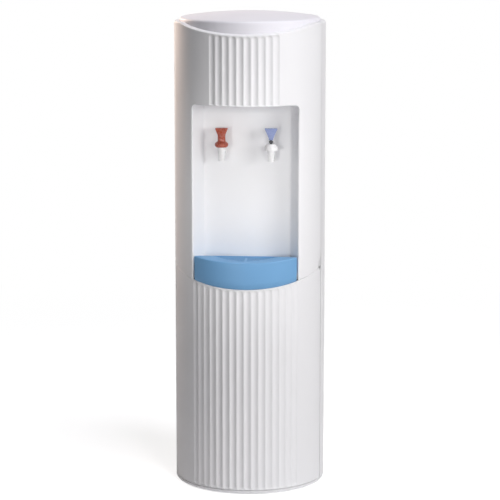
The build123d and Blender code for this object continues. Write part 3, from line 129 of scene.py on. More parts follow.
print("made the helpers empty_material, add and only_seen")

# %% [markdown]
# ## The white room
# The studio is white all round. A white sky that really shone would flatten the cabinet's shading, so the
# sky is white only for rays that look at it or mirror it, and lights the object at a low plain level.

# %% The sky
sky_level = 0.041              # light that the white room sends from all sides

world = bpy.data.worlds.new("studio")
world.use_nodes = True
bpy.context.scene.world = world
sky = world.node_tree
sky.nodes.clear()
room_light = add(sky, "Background", {"Color": (1.0, 0.97, 0.95, 1.0), "Strength": sky_level})
white_wall = add(sky, "Background", {"Color": (1.0, 1.0, 1.0, 1.0), "Strength": 1.0})
either = add(sky, "MixShader", {0: only_seen(sky), 1: room_light.outputs[0], 2: white_wall.outputs[0]})
add(sky, "OutputWorld", {"Surface": either.outputs[0]})
print("sky level", sky_level)

# %% [markdown]
# ## The floor
# The floor has to be white and still carry the cooler's shadow. A plain white sheet would turn grey where
# the lamps don't reach. So near the cooler it is a matt sheet with part of its white glowing by itself,
# and further out it turns to plain white, so that no edge or horizon shows.

# %% The floor
floor_glow = 0.79                  # part of the floor's white that doesn't depend on the lamps
fade_start, fade_end = 0.6, 2.4    # metres from the cooler over which the floor turns to plain white
floor_reach = 12.0

floor_white = empty_material("floor_white")
sheet = floor_white.node_tree
matt = add(sheet, "BsdfDiffuse", {"Color": (0.92, 0.92, 0.93, 1.0)})
glow_level = add(sheet, "Math", {0: only_seen(sheet), 1: floor_glow}, operation="MULTIPLY")
glow = add(sheet, "Emission", {"Strength": glow_level.outputs[0]})
near = add(sheet, "AddShader", {0: matt.outputs[0], 1: glow.outputs[0]})
place = add(sheet, "TexCoord", {})
how_far = add(sheet, "VectorMath", {0: place.outputs["Object"]}, operation="LENGTH")
fade = add(sheet, "MapRange", {"Value": how_far.outputs["Value"], "From Min": fade_start,
                               "From Max": fade_end}, interpolation_type="SMOOTHSTEP")
far_share = add(sheet, "Math", {0: fade.outputs["Result"], 1: only_seen(sheet)}, operation="MULTIPLY")
paper = add(sheet, "Emission", {})
floor_mix = add(sheet, "MixShader", {0: far_share.outputs[0], 1: near.outputs[0], 2: paper.outputs[0]})
add(sheet, "OutputMaterial", {"Surface": floor_mix.outputs[0]})

floor_mesh = bpy.data.meshes.new("floor")
floor_mesh.from_pydata([(-floor_reach, -floor_reach, 0), (floor_reach, -floor_reach, 0),
                        (floor_reach, floor_reach, 0), (-floor_reach, floor_reach, 0)], [], [(0, 1, 2, 3)])
floor = bpy.data.objects.new("floor", floor_mesh)
floor.data.materials.append(floor_white)
bpy.context.scene.collection.objects.link(floor)
print("floor", 2 * floor_reach, "m square")

# %% [markdown]
# ## The lamps
# A round white cabinet shows its shape only by its shading. A soft box far to the right lights the right
# side and leaves the left one grey, a smaller one nearer the camera softens the step between them, and
# one overhead lights the lid. A weak warm one behind on the left gives the dark side its thin bright
# edge.

# %% Soft boxes
def hang(name, data, target, azimuth, elevation, distance):
    """Puts a lamp on a sphere round a target point and turns it to face that point.

    With azimuth a and elevation e its offset is x = d sin(a) cos(e), y = -d cos(a) cos(e), z = d sin(e)."""
    a, e = math.radians(azimuth), math.radians(elevation)
    lamp = bpy.data.objects.new(name, data)
    lamp.location = (target[0] + distance * math.sin(a) * math.cos(e),
                     target[1] - distance * math.cos(a) * math.cos(e),
                     target[2] + distance * math.sin(e))
    lamp.rotation_euler = (math.pi / 2 - e, 0.0, a)
    bpy.context.scene.collection.objects.link(lamp)
    print("lamp", name, data.energy, "W")


def soft_box(name, azimuth, elevation, distance, size, watts, colour, middle=0.62, spread=180.0):
    """A rectangular lamp that looks at a point on the cooler's axis, at the middle height."""
    data = bpy.data.lights.new(name, "AREA")
    data.shape = "RECTANGLE"
    data.size, data.size_y = size
    data.spread = math.radians(spread)
    data.energy = watts
    data.color = colour
    hang(name, data, (0.0, 0.0, middle), azimuth, elevation, distance)


daylight = (1.0, 0.99, 0.985)
cool_white = (0.96, 0.95, 1.0)
warm_edge = (1.0, 0.77, 0.64)
soft_box("key", 55.0, 12.0, 3.4, (1.0, 0.9), 36.5, daylight)
soft_box("front", 20.0, 11.0, 3.4, (0.6, 0.8), 19.5, daylight)
soft_box("top", 40.0, 66.0, 2.6, (1.2, 1.2), 36.0, cool_white)
soft_box("edge", -133.0, 12.0, 2.1, (0.5, 0.8), 3.4, warm_edge, middle=1.0, spread=50.0)

# %% [markdown]
# The alcove's back wall has to be as bright as the front of the cabinet, although the alcove's right wall
# shades part of it from the soft box on the right. Two narrow beams, one above the other, come in from the
# left of the camera and light mostly that wall.

# %% Beams into the alcove
def beam(name, target, azimuth, elevation, distance, cone, watts, colour):
    """A lamp with a narrow cone and a soft rim, aimed at a point."""
    data = bpy.data.lights.new(name, "SPOT")
    data.spot_size = math.radians(cone)
    data.spot_blend = 1.0
    data.shadow_soft_size = 0.16
    data.energy = watts
    data.color = colour
    hang(name, data, target, azimuth, elevation, distance)


for level, watts in ((0.57, 69.6), (0.745, 81.2)):
    beam("niche", (0.034, -0.08, level), -18.0, 1.0, 2.4, 8.4, watts, (1.0, 0.99, 0.98))

# %% [markdown]
# ## Finishes
# Moulded plastic isn't a flat colour: the tool leaves a fine grain that spreads the highlight, the wall's
# colour drifts a little with its thickness, and handling leaves some places glossier than others. It
# could be a picture wrapped round the piece, but that shows seams and blurs close up. One function builds
# it from three noises instead. They read Object coordinates, so the pattern stays with the piece when it
# moves.

# %% Parts of a finish
def noise(tree, position, waves, detail=2.0):
    """Noise value from 0 to 1 at a scale given in waves per metre."""
    return add(tree, "TexNoise", {"Vector": position, "Scale": waves, "Detail": detail}).outputs["Fac"]


def remap(tree, value, low, high):
    """Straight line that takes 0.3 to low and 0.7 to high, the range that a noise really covers."""
    span = {"Value": value, "From Min": 0.3, "From Max": 0.7, "To Min": low, "To Max": high}
    return add(tree, "MapRange", span).outputs["Result"]


def shade(colour, factor):
    """Colour made lighter or darker by a factor, with full opacity."""
    return (*(min(1.0, c * factor) for c in colour), 1.0)


print("made the helpers noise, remap and shade")

# %% [markdown]
# The same function makes metal, rubber and foam: they differ in how much they mirror, how far apart the
# waves of their grain are and how deep it is.

# %% Moulded plastic and the rest
def finish(name, colour, roughness=0.4, metallic=0.0, grain=1400.0, grain_depth=0.00002, tone=0.03,
           drift=7.0, rough_span=0.06, coat=0.0, sheen=0.0, clear=0.0, stretch=(1.0, 1.0, 1.0)):
    """A surface with drifting tone, uneven gloss and a fine grain, all from noises on Object coordinates."""
    material = empty_material(name)
    tree = material.node_tree
    place = add(tree, "TexCoord", {}).outputs["Object"]
    position = add(tree, "Mapping", {"Vector": place, "Scale": stretch}).outputs["Vector"]
    drifting = remap(tree, noise(tree, position, drift), 0.0, 1.0)
    tones = add(tree, "Mix", {"Factor": drifting, "A": shade(colour, 1 - tone),
                              "B": shade(colour, 1 + tone)}, data_type="RGBA")
    worn = noise(tree, position, 4.3 * drift, 4.0)
    gloss = remap(tree, worn, roughness - rough_span, roughness + rough_span)
    grained = add(tree, "Bump", {"Height": noise(tree, position, grain, 3.0), "Strength": 0.5,
                                 "Distance": grain_depth})
    surface = add(tree, "BsdfPrincipled", {
        "Base Color": tones.outputs["Result"], "Roughness": gloss, "Normal": grained.outputs["Normal"],
        "Metallic": metallic, "Coat Weight": coat, "Coat Roughness": 0.25, "Sheen Weight": sheen,
        "Transmission Weight": clear})
    add(tree, "OutputMaterial", {"Surface": surface.outputs[0]})
    return material


finishes = {
    "white_shell": finish("white_shell", (0.86, 0.86, 0.87), 0.5, tone=0.012, drift=3.0),
    "lid_plastic": finish("lid_plastic", (0.83, 0.82, 0.865), 0.5, tone=0.015, drift=4.0),
    "tray_blue": finish("tray_blue", (0.15, 0.36, 0.62), 0.5, tone=0.02, drift=9.0, rough_span=0.015,
                        coat=0.1),
    "red_plastic": finish("red_plastic", (0.38, 0.06, 0.025), 0.28, tone=0.05, drift=60.0, coat=0.2),
    "blue_handle": finish("blue_handle", (0.26, 0.32, 0.58), 0.28, tone=0.05, drift=60.0, coat=0.2),
    "tap_white": finish("tap_white", (0.88, 0.88, 0.88), 0.26, tone=0.015, drift=40.0),
    "dark_plastic": finish("dark_plastic", (0.035, 0.035, 0.04), 0.5, tone=0.12, drift=20.0, grain=2200.0,
                           grain_depth=0.00005),
    "silicone": finish("silicone", (0.72, 0.72, 0.69), 0.55, tone=0.04, drift=30.0, sheen=0.2),
    "stainless": finish("stainless", (0.62, 0.62, 0.61), 0.3, metallic=1.0, tone=0.06, drift=12.0,
                        grain=900.0, stretch=(1.0, 1.0, 0.05)),
    "copper_brass": finish("copper_brass", (0.72, 0.38, 0.24), 0.28, metallic=1.0, tone=0.14, drift=45.0),
    "black_enamel": finish("black_enamel", (0.022, 0.022, 0.024), 0.3, tone=0.2, drift=25.0, grain=700.0,
                           grain_depth=0.00006, coat=0.4),
    "zinc_steel": finish("zinc_steel", (0.6, 0.62, 0.64), 0.38, metallic=0.9, tone=0.16, drift=70.0,
                         grain=260.0),
    "foam": finish("foam", (0.8, 0.78, 0.7), 0.85, tone=0.06, drift=90.0, grain=420.0, grain_depth=0.0004),
    "clear_hose": finish("clear_hose", (0.78, 0.83, 0.85), 0.16, tone=0.02, drift=30.0, clear=0.35),
    "rubber_foot": finish("rubber_foot", (0.03, 0.03, 0.03), 0.75, tone=0.2, drift=60.0,
                          grain_depth=0.00008),
    "grey_plastic": finish("grey_plastic", (0.34, 0.35, 0.37), 0.5, tone=0.05, drift=20.0,
                           grain_depth=0.00005),
    "aluminium_sleeve": finish("aluminium_sleeve", (0.78, 0.78, 0.8), 0.32, metallic=1.0, tone=0.06,
                               drift=30.0),
    "green_switch": finish("green_switch", (0.05, 0.3, 0.11), 0.3, tone=0.05, drift=60.0),
}
print("finishes", len(finishes))

# %% [markdown]
# Each node of the frame names the slot that its finish comes from, so one loop dresses them all.

# %% Dress the frame
for row in frame["record"]["subparts"]:
    part = nodes[row["node"]]
    part.data.materials.clear()
    part.data.materials.append(finishes[row["material_slot"]])

# %% [markdown]
# ## The large mouldings
# The door and the upper cover are two halves of one fluted tube, cut apart by an inclined seam. They
# could be carved from a tube by Boolean cuts, but such cuts can leave slivers in a curved wall, and
# slivers show as streaks in its shading. Their shapes are formulas, so they are worked out here in
# millimetres as whole grids of points. A row of the grid runs round the cabinet and a column runs up it.
# Equal points are merged, which closes seams and poles.

# %% A mesh from a grid of points
mm = 0.001


def surface(name, points, node, slot, body, wall=0.0):
    """Mesh whose vertices are points[row, column], with a quad between each four neighbours of the grid.

    Without a wall the open ends are filled and the faces turned outwards. With one, the faces point away
    from the middle of the cabinet and the wall, in millimetres, grows inwards. The piece stands in for a
    node of the frame, takes a slot's finish and moves with a body."""
    rows, columns = points.shape[:2]
    index = np.arange(rows * columns).reshape(rows, columns)
    quads = np.stack([index[:-1, :-1], index[:-1, 1:], index[1:, 1:], index[1:, :-1]], axis=-1)
    mesh = bpy.data.meshes.new(name)
    mesh.from_pydata((points.reshape(-1, 3) * mm).tolist(), [], quads.reshape(-1, 4).tolist())
    work = bmesh.new()
    work.from_mesh(mesh)
    bmesh.ops.remove_doubles(work, verts=work.verts, dist=0.00001)
    if not wall:
        bmesh.ops.holes_fill(work, edges=[e for e in work.edges if e.is_boundary])
    bmesh.ops.recalc_face_normals(work, faces=work.faces)
    outward = sum(f.normal.dot(f.calc_center_median() * f.calc_area()) for f in work.faces)
    if wall and outward < 0:
        bmesh.ops.reverse_faces(work, faces=work.faces)
    work.to_mesh(mesh)
    work.free()
    mesh.shade_smooth()
    mesh.materials.append(finishes[slot])
    piece = bpy.data.objects.new(name, mesh)
    bpy.context.scene.collection.objects.link(piece)
    if wall:
        thick = piece.modifiers.new("wall", "SOLIDIFY")
        thick.thickness = wall * mm
        thick.offset = -1.0
    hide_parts(node)
    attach(piece, body)
    print(name, len(mesh.vertices), "points,", len(mesh.polygons), "faces")


# %% [markdown]
# ## Heights and radii of the cabinet
# The seam is a plane that rises toward the back. So is the front of the rim, which then runs level. Both
# are functions of y alone, so every piece that ends at one of them asks the same function for its height.

# %% Heights and radii
body_radius = 168.99
wall_inner_radius = 163.0
door_bottom_z = 11.6
seam_front_z = 467.5
seam_slope = math.tan(math.radians(16.2))
shown_gap = 0.3                # dark gap that shows along the seam
overall_height = cad_box[1][2] / mm
lid_edge_z = overall_height - 11.0
rim_level_z = lid_edge_z - 9.0
rim_front_z = rim_level_z - 22.0
rim_slope = math.tan(math.radians(13.6))
front_half_angle = 74.9
alcove_floor_z = 498.0
alcove_top_z = 870.6


def seam_height(y):
    """Height of the door's top edge, a plane that rises toward the back: z = z0 + (y + R) tan(slope)."""
    return seam_front_z + (y + body_radius) * seam_slope


def rim_height(y):
    """Height of the cover's rim, a sloping plane in front that runs into a level one."""
    return np.minimum(rim_level_z, rim_front_z + (y + body_radius) * rim_slope)


def circle_y(radius, angle):
    """The y of a point on a circle round the axis, at an angle in degrees from the front."""
    return -radius * np.cos(np.radians(angle))


def around(radius, angle, z):
    """Points of a grid given by radius, angle in degrees from the front toward +X, and height."""
    a = np.radians(angle)
    return np.stack(np.broadcast_arrays(radius * np.sin(a), -radius * np.cos(a), z), axis=-1)


print("seam at the front", seam_front_z, "mm, rim at the front", round(rim_front_z, 1), "mm")

# %% [markdown]
# ## Flutes
# Each flute is a shallow trough with a round bottom and half-round ends, which stop just short of the
# moulding's edge. Only over the alcove the edge of its mouth cuts them. Its slopes reach a little over 30
# degrees, enough for light from the side to brighten one flank and leave the other grey. A flute could be
# a bump in the material, but a bump only bends the shading and never shades or hides anything, so the
# flutes are cut into the radius. The columns of the grid gather at the flute's edges, where the surface
# bends most.

# %% Flutes
flute_pitch = 5.47             # degrees
flute_depth = 2.15
flute_half = 6.9
flute_power = 2.1
flute_margin = 1.4             # plain wall between the end of a flute and the edge of its moulding
edge_softness = 0.1
flute_side_step = 0.4          # degrees from the last flute's edge to the next plain column
plain_step = 2.2               # degrees between the columns of the plain wall


def flute_centres(count):
    """Angles of the middle lines of a row of flutes, even about the front."""
    return (np.arange(count) - (count - 1) / 2) * flute_pitch


def fluted_radius(angle, z, count, low, high):
    """Radius of the wall at an angle and height, with the flutes cut in.

    With t the distance from the flute's middle line over its half width, and past its ends from the end of
    that line, the depth is D (1 - t^p). A soft maximum with zero, k log(1 + exp(depth / k)), rounds the
    edge. Well outside the flute t stops at 1.6."""
    centres = flute_centres(count)
    nearest = np.abs(angle[..., None] - centres).argmin(axis=-1)
    across = np.radians(angle - centres[nearest]) * body_radius
    low, high = (np.broadcast_to(v, centres.shape)[nearest] for v in (low, high))
    past = np.maximum(0, np.maximum(z - (high - flute_half), (low + flute_half) - z))
    t = np.minimum(np.hypot(across, past) / flute_half, 1.6)
    depth = flute_depth * (1 - t**flute_power)
    return body_radius - edge_softness * np.logaddexp(0, depth / edge_softness)


def column_angles(start, end, count):
    """Angles from start to end, gathered at the edges of the flutes."""
    edge = math.degrees(flute_half / body_radius)
    pattern = edge * np.array([-1.12, -1.05, -1.0, -0.95, -0.88, -0.76, -0.58, -0.38, -0.18, 0.0,
                               0.18, 0.38, 0.58, 0.76, 0.88, 0.95, 1.0, 1.05, 1.12])
    fluted = (flute_centres(count)[:, None] + pattern).ravel()
    first, last = fluted[0] - flute_side_step, fluted[-1] + flute_side_step
    left = np.linspace(start, first, max(2, int((first - start) / plain_step)))
    right = np.linspace(last, end, max(2, int((end - last) / plain_step)))
    angles = np.concatenate([left, fluted, right])
    return angles[(angles >= start) & (angles <= end)]


print("flute width", 2 * flute_half, "mm, depth", flute_depth, "mm")

# %% [markdown]
# Straight stretches need few rows and rounded ends need many. One helper shares out the rows of a fluted
# wall, and the other gives the rows of a rounded edge.

# %% Rows for ends and edges
def eased(count, low_step, high_step):
    """Fractions from 0 to 1, with count fine steps over the first low_step and the last high_step."""
    low = np.linspace(0, low_step, count)
    high = np.linspace(1 - high_step, 1, count)
    return np.concatenate([low, np.linspace(low_step, 1 - high_step, 10)[1:-1], high])


def quarter(count):
    """Sine and cosine of a quarter turn."""
    a = np.linspace(0, np.pi / 2, count)
    return np.sin(a), np.cos(a)


print("a column with 14 fine rows at each end has", len(eased(14, 0.02, 0.02)), "rows")

# %% [markdown]
# ## The lower door
# The door is one curved moulding from the base to the seam. Its left edge is free and its right edge is
# rolled into a bead round the hinge pins. At the bead the door's top is cut down, which leaves room for
# the tongue of the hinge bracket. All of that depends only on the angle round the cabinet, so it is
# worked out once for each column of the grid.

# %% Columns of the door
lower_flutes = 16
hinge_angle = 73.0
hinge_radius = 164.5
bead_radius = 4.5
notch_reach, notch_depth = 5.5, 9.0
notch_step = 0.03              # degrees over which the door's top drops to the bead
edge_room = 1.0                # degrees that the rounding of the free edge keeps for itself
lip_round = 2.4

bead_angle = math.degrees(bead_radius / hinge_radius)
bead_turn = np.linspace(0, 1.5, 10)
notch_angle = hinge_angle - math.degrees(notch_reach / hinge_radius)
free_round = np.degrees(lip_round * (1 - np.cos(np.linspace(0, np.pi / 2, 5))) / body_radius)
door_angles = np.concatenate([-front_half_angle + free_round,
                              column_angles(edge_room - front_half_angle, notch_angle - notch_step,
                                            lower_flutes),
                              [notch_angle, hinge_angle],
                              hinge_angle + bead_angle * np.sin(bead_turn[1:])])
in_bead = door_angles > hinge_angle
past_hinge = np.radians(door_angles - hinge_angle) * hinge_radius
past_hinge = np.clip(past_hinge, -bead_radius, bead_radius)
bead_half = np.sqrt(np.maximum(0, bead_radius**2 - past_hinge**2))
inner = np.where(in_bead, hinge_radius - bead_half, np.minimum(wall_inner_radius, hinge_radius - bead_half))
plain_outer = np.where(in_bead, hinge_radius + bead_half, body_radius)
door_top = np.where(door_angles < notch_angle, seam_height(circle_y(body_radius, door_angles)),
                    seam_height(circle_y(hinge_radius, hinge_angle)) - notch_depth)
free_edge = np.clip((door_angles + front_half_angle) * math.radians(body_radius), 0, lip_round)
inset = lip_round - np.sqrt(lip_round**2 - (lip_round - free_edge) ** 2)
print("columns of the door", len(door_angles))

# %% [markdown]
# The section of the wall is a closed loop: up the outside, over a small round lip, down a bevel and the
# inside, and back along the bottom. The lip catches the light from above as a thin bright line. The loop
# is carried round the cabinet, one column for each angle. A Solidify modifier would be less work, but it
# can't give the inside a bevel of its own.

# %% The lower door
door_lip = 1.0
door_bevel = 6.5
bevel_start = 4.0

low_z, high_z = door_bottom_z + lip_round, door_top - lip_round
outside_z = low_z + eased(14, low_step=0.024, high_step=0.022)[:, None] * (high_z - low_z)
flute_tops = seam_height(circle_y(body_radius, flute_centres(lower_flutes))) - flute_margin
outside_r = fluted_radius(np.broadcast_to(door_angles, outside_z.shape), outside_z, lower_flutes,
                          door_bottom_z + flute_margin, flute_tops)
outside_r = np.where(in_bead, plain_outer, outside_r) - inset
sine, cosine = (v[:, None] for v in quarter(6))
lip_r = plain_outer - inset - lip_round * (1 - cosine)
lip_z = high_z + lip_round * sine - inset
bevel_r = np.stack([np.minimum(plain_outer - door_lip - inset, inner + bevel_start), inner + inset])
bevel_z = np.stack([door_top - inset, door_top - door_bevel])
down = np.linspace(0, 1, 12)[1:, None]
inside_z = (door_top - door_bevel) + down * (door_bottom_z - door_top + door_bevel)
inside_r = np.broadcast_to(inner + inset, inside_z.shape)
foot_r = plain_outer - inset - lip_round * (1 - sine)
foot_z = low_z - lip_round * cosine + inset
door_r = np.concatenate([outside_r, lip_r, bevel_r, inside_r, foot_r, outside_r[:1]])
door_z = np.concatenate([outside_z, lip_z, bevel_z, inside_z, foot_z, outside_z[:1]])
surface("door_moulding", around(door_r, door_angles, door_z), node="lower_door", slot="white_shell",
        body="door")

# %% [markdown]
# ## The upper cover
# The cover is one moulding with the alcove in it. It could be a tube with a box let into it, but then the
# corners where they meet would be sharp or need a bevel each. Here one sheet follows both, because the
# cover's plan changes with height. Level with the alcove it runs from the outer wall round a small lip,
# back along a splayed side wall, round a corner and across the back. The lip is an arc that touches both
# the outer circle and the side wall, and its centre follows from those two conditions.

# %% Plan of the alcove
alcove_front_x, alcove_back_x = 117.0, 97.0
alcove_depth = 50.0
alcove_corner = 6.0
alcove_lip = 3.0
alcove_front_y = -math.sqrt(body_radius**2 - alcove_front_x**2)
alcove_back_y = alcove_front_y + alcove_depth
wall_length = math.hypot(alcove_front_x - alcove_back_x, alcove_depth)
along = np.array([alcove_back_x - alcove_front_x, alcove_depth]) / wall_length
outward = np.array([along[1], -along[0]])


def plan_arc(centre, radius, start, end, count):
    """Points of an arc in plan, between two angles in radians."""
    a = np.linspace(start, end, count)
    return centre + radius * np.stack([np.cos(a), np.sin(a)], axis=1)


lip_start = np.array([alcove_front_x, alcove_front_y]) + alcove_lip * outward
middle_term = lip_start @ along
free_reach = middle_term**2 - lip_start @ lip_start + (body_radius - alcove_lip) ** 2
lip_slide = -middle_term - math.sqrt(free_reach)
lip_centre = lip_start + lip_slide * along
lip_plan = plan_arc(lip_centre, alcove_lip, math.atan2(lip_centre[1], lip_centre[0]),
                    math.atan2(-outward[1], -outward[0]), 9)
corner_y = alcove_back_y - alcove_corner
corner_x = alcove_back_x + (outward[1] * (alcove_back_y - corner_y) - alcove_corner) / outward[0]
corner_plan = plan_arc(np.array([corner_x, corner_y]), alcove_corner,
                       math.atan2(outward[1], outward[0]), np.pi / 2, 8)
side_plan = np.linspace(lip_plan[-1], corner_plan[0], 10)[1:-1]
print("lip from", lip_plan[0].round(2), "to", lip_plan[-1].round(2))
print("corner from", corner_plan[0].round(2), "to", corner_plan[-1].round(2))

# %% [markdown]
# Above the alcove the same columns form the plain round wall with its flutes. Each column of the grid
# keeps its x all the way up, so the ceiling is just the strip that joins the two plans. Only the right
# half is worked out, and the left one mirrors it.

# %% Columns of the cover
upper_flutes = 10
cover_half_angle = 75.2
front_angles = column_angles(0.0, math.degrees(math.asin(corner_x / body_radius)) - 0.5, upper_flutes)
front_x = body_radius * np.sin(np.radians(front_angles[::-1]))
back_plan = np.stack([front_x, np.full_like(front_x, alcove_back_y)], axis=1)
lip_angle = math.degrees(math.atan2(lip_plan[0][0], -lip_plan[0][1]))
outer_angles = np.linspace(cover_half_angle, lip_angle, 16)[:-1]
outer_plan = around(body_radius, outer_angles, 0.0)[:, :2]
half_plan = np.concatenate([outer_plan, lip_plan, side_plan, corner_plan, back_plan])
whole_plan = np.concatenate([half_plan * [-1, 1], half_plan[-2::-1]])
column_x, alcove_y = whole_plan.T
outer_y = -np.sqrt(body_radius**2 - column_x**2)
in_mouth = np.abs(column_x) < lip_plan[-1][0] + 1e-6
in_lip = (np.abs(column_x) < lip_plan[0][0] - 1e-6) & ~in_mouth
print("columns of the cover", len(column_x))

# %% [markdown]
# From the seam up a column passes the apron behind the tray's skirt, the alcove's floor, its wall and its
# ceiling. The top corners of the mouth are round: toward the sides the ceiling comes down along a quarter
# circle. A quarter turn joins the ceiling to the front of the cover.

# %% Strips of the alcove
apron_radius = 162.4
mouth_round = 2.6              # rounding of the ceiling into the front
mouth_corner = 8.0             # radius of the mouth's top corners


def inner_circle(radius):
    """The y of each column on a circle of this radius, in front of the axis."""
    return -np.sqrt(np.maximum(radius**2 - column_x**2, 0))


def strip(y_from, y_to, z_from, z_to, count):
    """Rows between two curves of the same columns, evenly spaced."""
    f = np.linspace(0, 1, count)[:, None]
    y = y_from + f * (y_to - y_from)
    z = z_from + f * (z_to - z_from)
    return np.stack(np.broadcast_arrays(column_x, y, z), axis=-1)


apron_y = np.where(in_mouth, inner_circle(apron_radius), np.where(in_lip, alcove_y, outer_y))
cover_low = seam_height(np.where(in_mouth, apron_y, outer_y)) + shown_gap
floor_z = np.maximum(alcove_floor_z, cover_low)
corner_reach = np.clip(np.abs(column_x) - (alcove_front_x - mouth_corner), 0, mouth_corner)
mouth_top = alcove_top_z - mouth_corner + np.sqrt(mouth_corner**2 - corner_reach**2)
niche_top = np.maximum(mouth_top, floor_z)
ceiling_edge_y = np.where(in_mouth, inner_circle(body_radius - mouth_round), alcove_y)

apron = strip(apron_y, apron_y, cover_low, floor_z, 6)
niche_floor = strip(apron_y, alcove_y, floor_z, floor_z, 5)
niche = strip(alcove_y, alcove_y, floor_z, niche_top, 16)
ceiling = strip(alcove_y, ceiling_edge_y, niche_top, niche_top, 8)
ramp_sine, ramp_cosine = (v[:, None] for v in quarter(9))
mouth_y = ceiling_edge_y + (outer_y - ceiling_edge_y) * ramp_sine
mouth_z = mouth_top + mouth_round * (1 - ramp_cosine)
mouth_edge = np.stack(np.broadcast_arrays(column_x, mouth_y, mouth_z), axis=-1)
print("alcove from", alcove_floor_z, "to", alcove_top_z, "mm")

# %% [markdown]
# Above the mouth the column climbs the fluted front, turns over the rim onto the sloping shelf, and drops
# a little way into the round hole for the lid. Solidify then gives the whole sheet its wall.

# %% The upper cover
rim_round = 2.2
hole_radius = 157.1
hole_round = 0.8
bore_depth = 9.0
flute_run_out = 4.0            # the flutes end this far below the front, so the mouth's edge cuts them
cover_wall = 2.6

column_angle = np.degrees(np.arcsin(np.clip(column_x / body_radius, -1, 1)))
rim_z = rim_height(circle_y(body_radius - rim_round, column_angle))
front_low = mouth_top + mouth_round
up = eased(16, low_step=0.058, high_step=0.075)[:, None]
front_z = front_low + up * (rim_z - rim_round - front_low)
upper_tops = rim_height(circle_y(body_radius, flute_centres(upper_flutes))) - flute_margin
front_r = fluted_radius(np.broadcast_to(column_angle, front_z.shape), front_z, upper_flutes,
                        alcove_top_z + mouth_round - flute_run_out, upper_tops)
front = around(front_r, column_angle, front_z)

rim_r = body_radius - rim_round * (1 - cosine)
rim_rows = around(rim_r, column_angle, rim_z - rim_round + rim_round * sine)
shelf_r = np.linspace(body_radius - rim_round, hole_radius + hole_round, 5)[1:, None]
shelf = around(shelf_r, column_angle, rim_height(circle_y(shelf_r, column_angle)))
hole_edge_z = rim_height(circle_y(hole_radius, column_angle))
hole = around(hole_radius + hole_round * (1 - sine[1:]), column_angle,
              hole_edge_z - hole_round * (1 - cosine[1:]))
bore_down = np.linspace(0, 1, 5)[1:, None] * bore_depth
bore = around(hole_radius, column_angle, hole_edge_z - hole_round - bore_down)
cover_points = np.concatenate([apron, niche_floor[1:], niche[1:], ceiling[1:], mouth_edge[1:], front[1:],
                               rim_rows[1:], shelf, hole, bore])
surface("cover_moulding", cover_points, node="upper_front_cover", slot="white_shell", body="root",
        wall=cover_wall)

# %% [markdown]
# ## The lid
# The lid is a round cap that lifts off. A shallow crown rounds over softly at its edge into a straight
# skirt, which disappears into the cabinet. Inside, the profile returns up the skirt and under the crown.
# A turned piece could be made with the Screw modifier. A grid gives the same shape with no modifier to
# apply.

# %% The lid
lid_radius = 156.5
lid_crown = 11.5               # rise of the crown over the chord
crown_chord = 150.0
lid_edge_wide, lid_edge_tall = 7.0, 5.5
lid_wall = 3.0
lid_skirt_z = rim_level_z - 37.0
skirt_round = 1.0
under_drop = 2.5               # the underside is this much deeper than the crown, where it meets the skirt


def arc(centre, radius, start, end, count):
    """Points of a circle's arc, angles in degrees counted from +r toward +z."""
    a = np.radians(np.linspace(start, end, count))
    return np.stack([centre[0] + radius * np.cos(a), centre[1] + radius * np.sin(a)], axis=1)


def crown(r, top, chord, rise):
    """Height of a cap of a sphere at radius r; the sphere's radius is (chord^2 + rise^2) / (2 rise)."""
    sphere = (chord**2 + rise**2) / (2 * rise)
    return top - sphere + np.sqrt(sphere**2 - r**2)


def turned(name, profile, count=192, **where):
    """Surface of a profile (radius, height) carried once round the z axis: x = r sin(a), y = -r cos(a)."""
    r, z = np.asarray(profile).T[..., None]
    surface(name, around(r, np.linspace(0, 360, count + 1), z), **where)


crown_r = np.linspace(0, lid_radius - lid_edge_wide, 24)
crown_z = crown(crown_r, overall_height, crown_chord, lid_crown)
edge_turn = np.linspace(0.1, np.pi / 2, 9)    # starts a little way in, since the crown slopes already
under_chord = crown_chord - lid_wall
under_r = np.linspace(under_chord, 0, 12)
under_z = crown(under_r, overall_height - lid_wall, under_chord, lid_crown + under_drop)
lid_profile = np.concatenate([
    np.stack([crown_r, crown_z], axis=1),
    np.stack([crown_r[-1] + lid_edge_wide * np.sin(edge_turn),
              crown_z[-1] - lid_edge_tall * (1 - np.cos(edge_turn))], axis=1),
    [(lid_radius, lid_skirt_z + skirt_round)],
    arc((lid_radius - skirt_round, lid_skirt_z + skirt_round), skirt_round, 0, -90, 4),
    arc((lid_radius - lid_wall + skirt_round, lid_skirt_z + skirt_round), skirt_round, -90, -180, 4),
    [(lid_radius - lid_wall, lid_edge_z - under_drop - lid_wall)],
    np.stack([under_r, under_z], axis=1)])
turned("lid_moulding", lid_profile, node="top_lid", slot="lid_plastic", body="lid")

# %% [markdown]
# ## The drip tray
# The tray fills the foot of the alcove: a soft rim, a sunk seat for the grille and a half-moon bowl, with
# a skirt that hangs in front of the cabinet. It could be pulled out of a flat plate face by face, but its
# corners would then be drawn by hand. Its outlines are all seen whole from one point inside, so each row
# of the grid can be a distance from that point at every angle, and a formula rounds the corners.

# %% Outlines of the tray
tray_middle = np.array([0.0, -112.0])
tray_gap = 2.5
tray_outer_radius = 168.4
skirt_inner_radius = 163.3
bowl_centre_y, bowl_radius, bowl_back_y = -66.0, 82.0, alcove_back_y - 16.0
tray_corner, bowl_corner = 1.4, 1.0
backward = np.array([0.0, 1.0])

ray_angle = np.radians(np.arange(0, 360.5, 0.75))
ray = np.stack([np.sin(ray_angle), -np.cos(ray_angle)])


def to_circle(centre_y, radius):
    """Distance along each ray to a circle round (0, centre_y), the positive root t of |m + t u - c| = r."""
    start = tray_middle - [0.0, centre_y]
    half = start @ ray
    return -half + np.sqrt(half**2 - start @ start + radius**2)


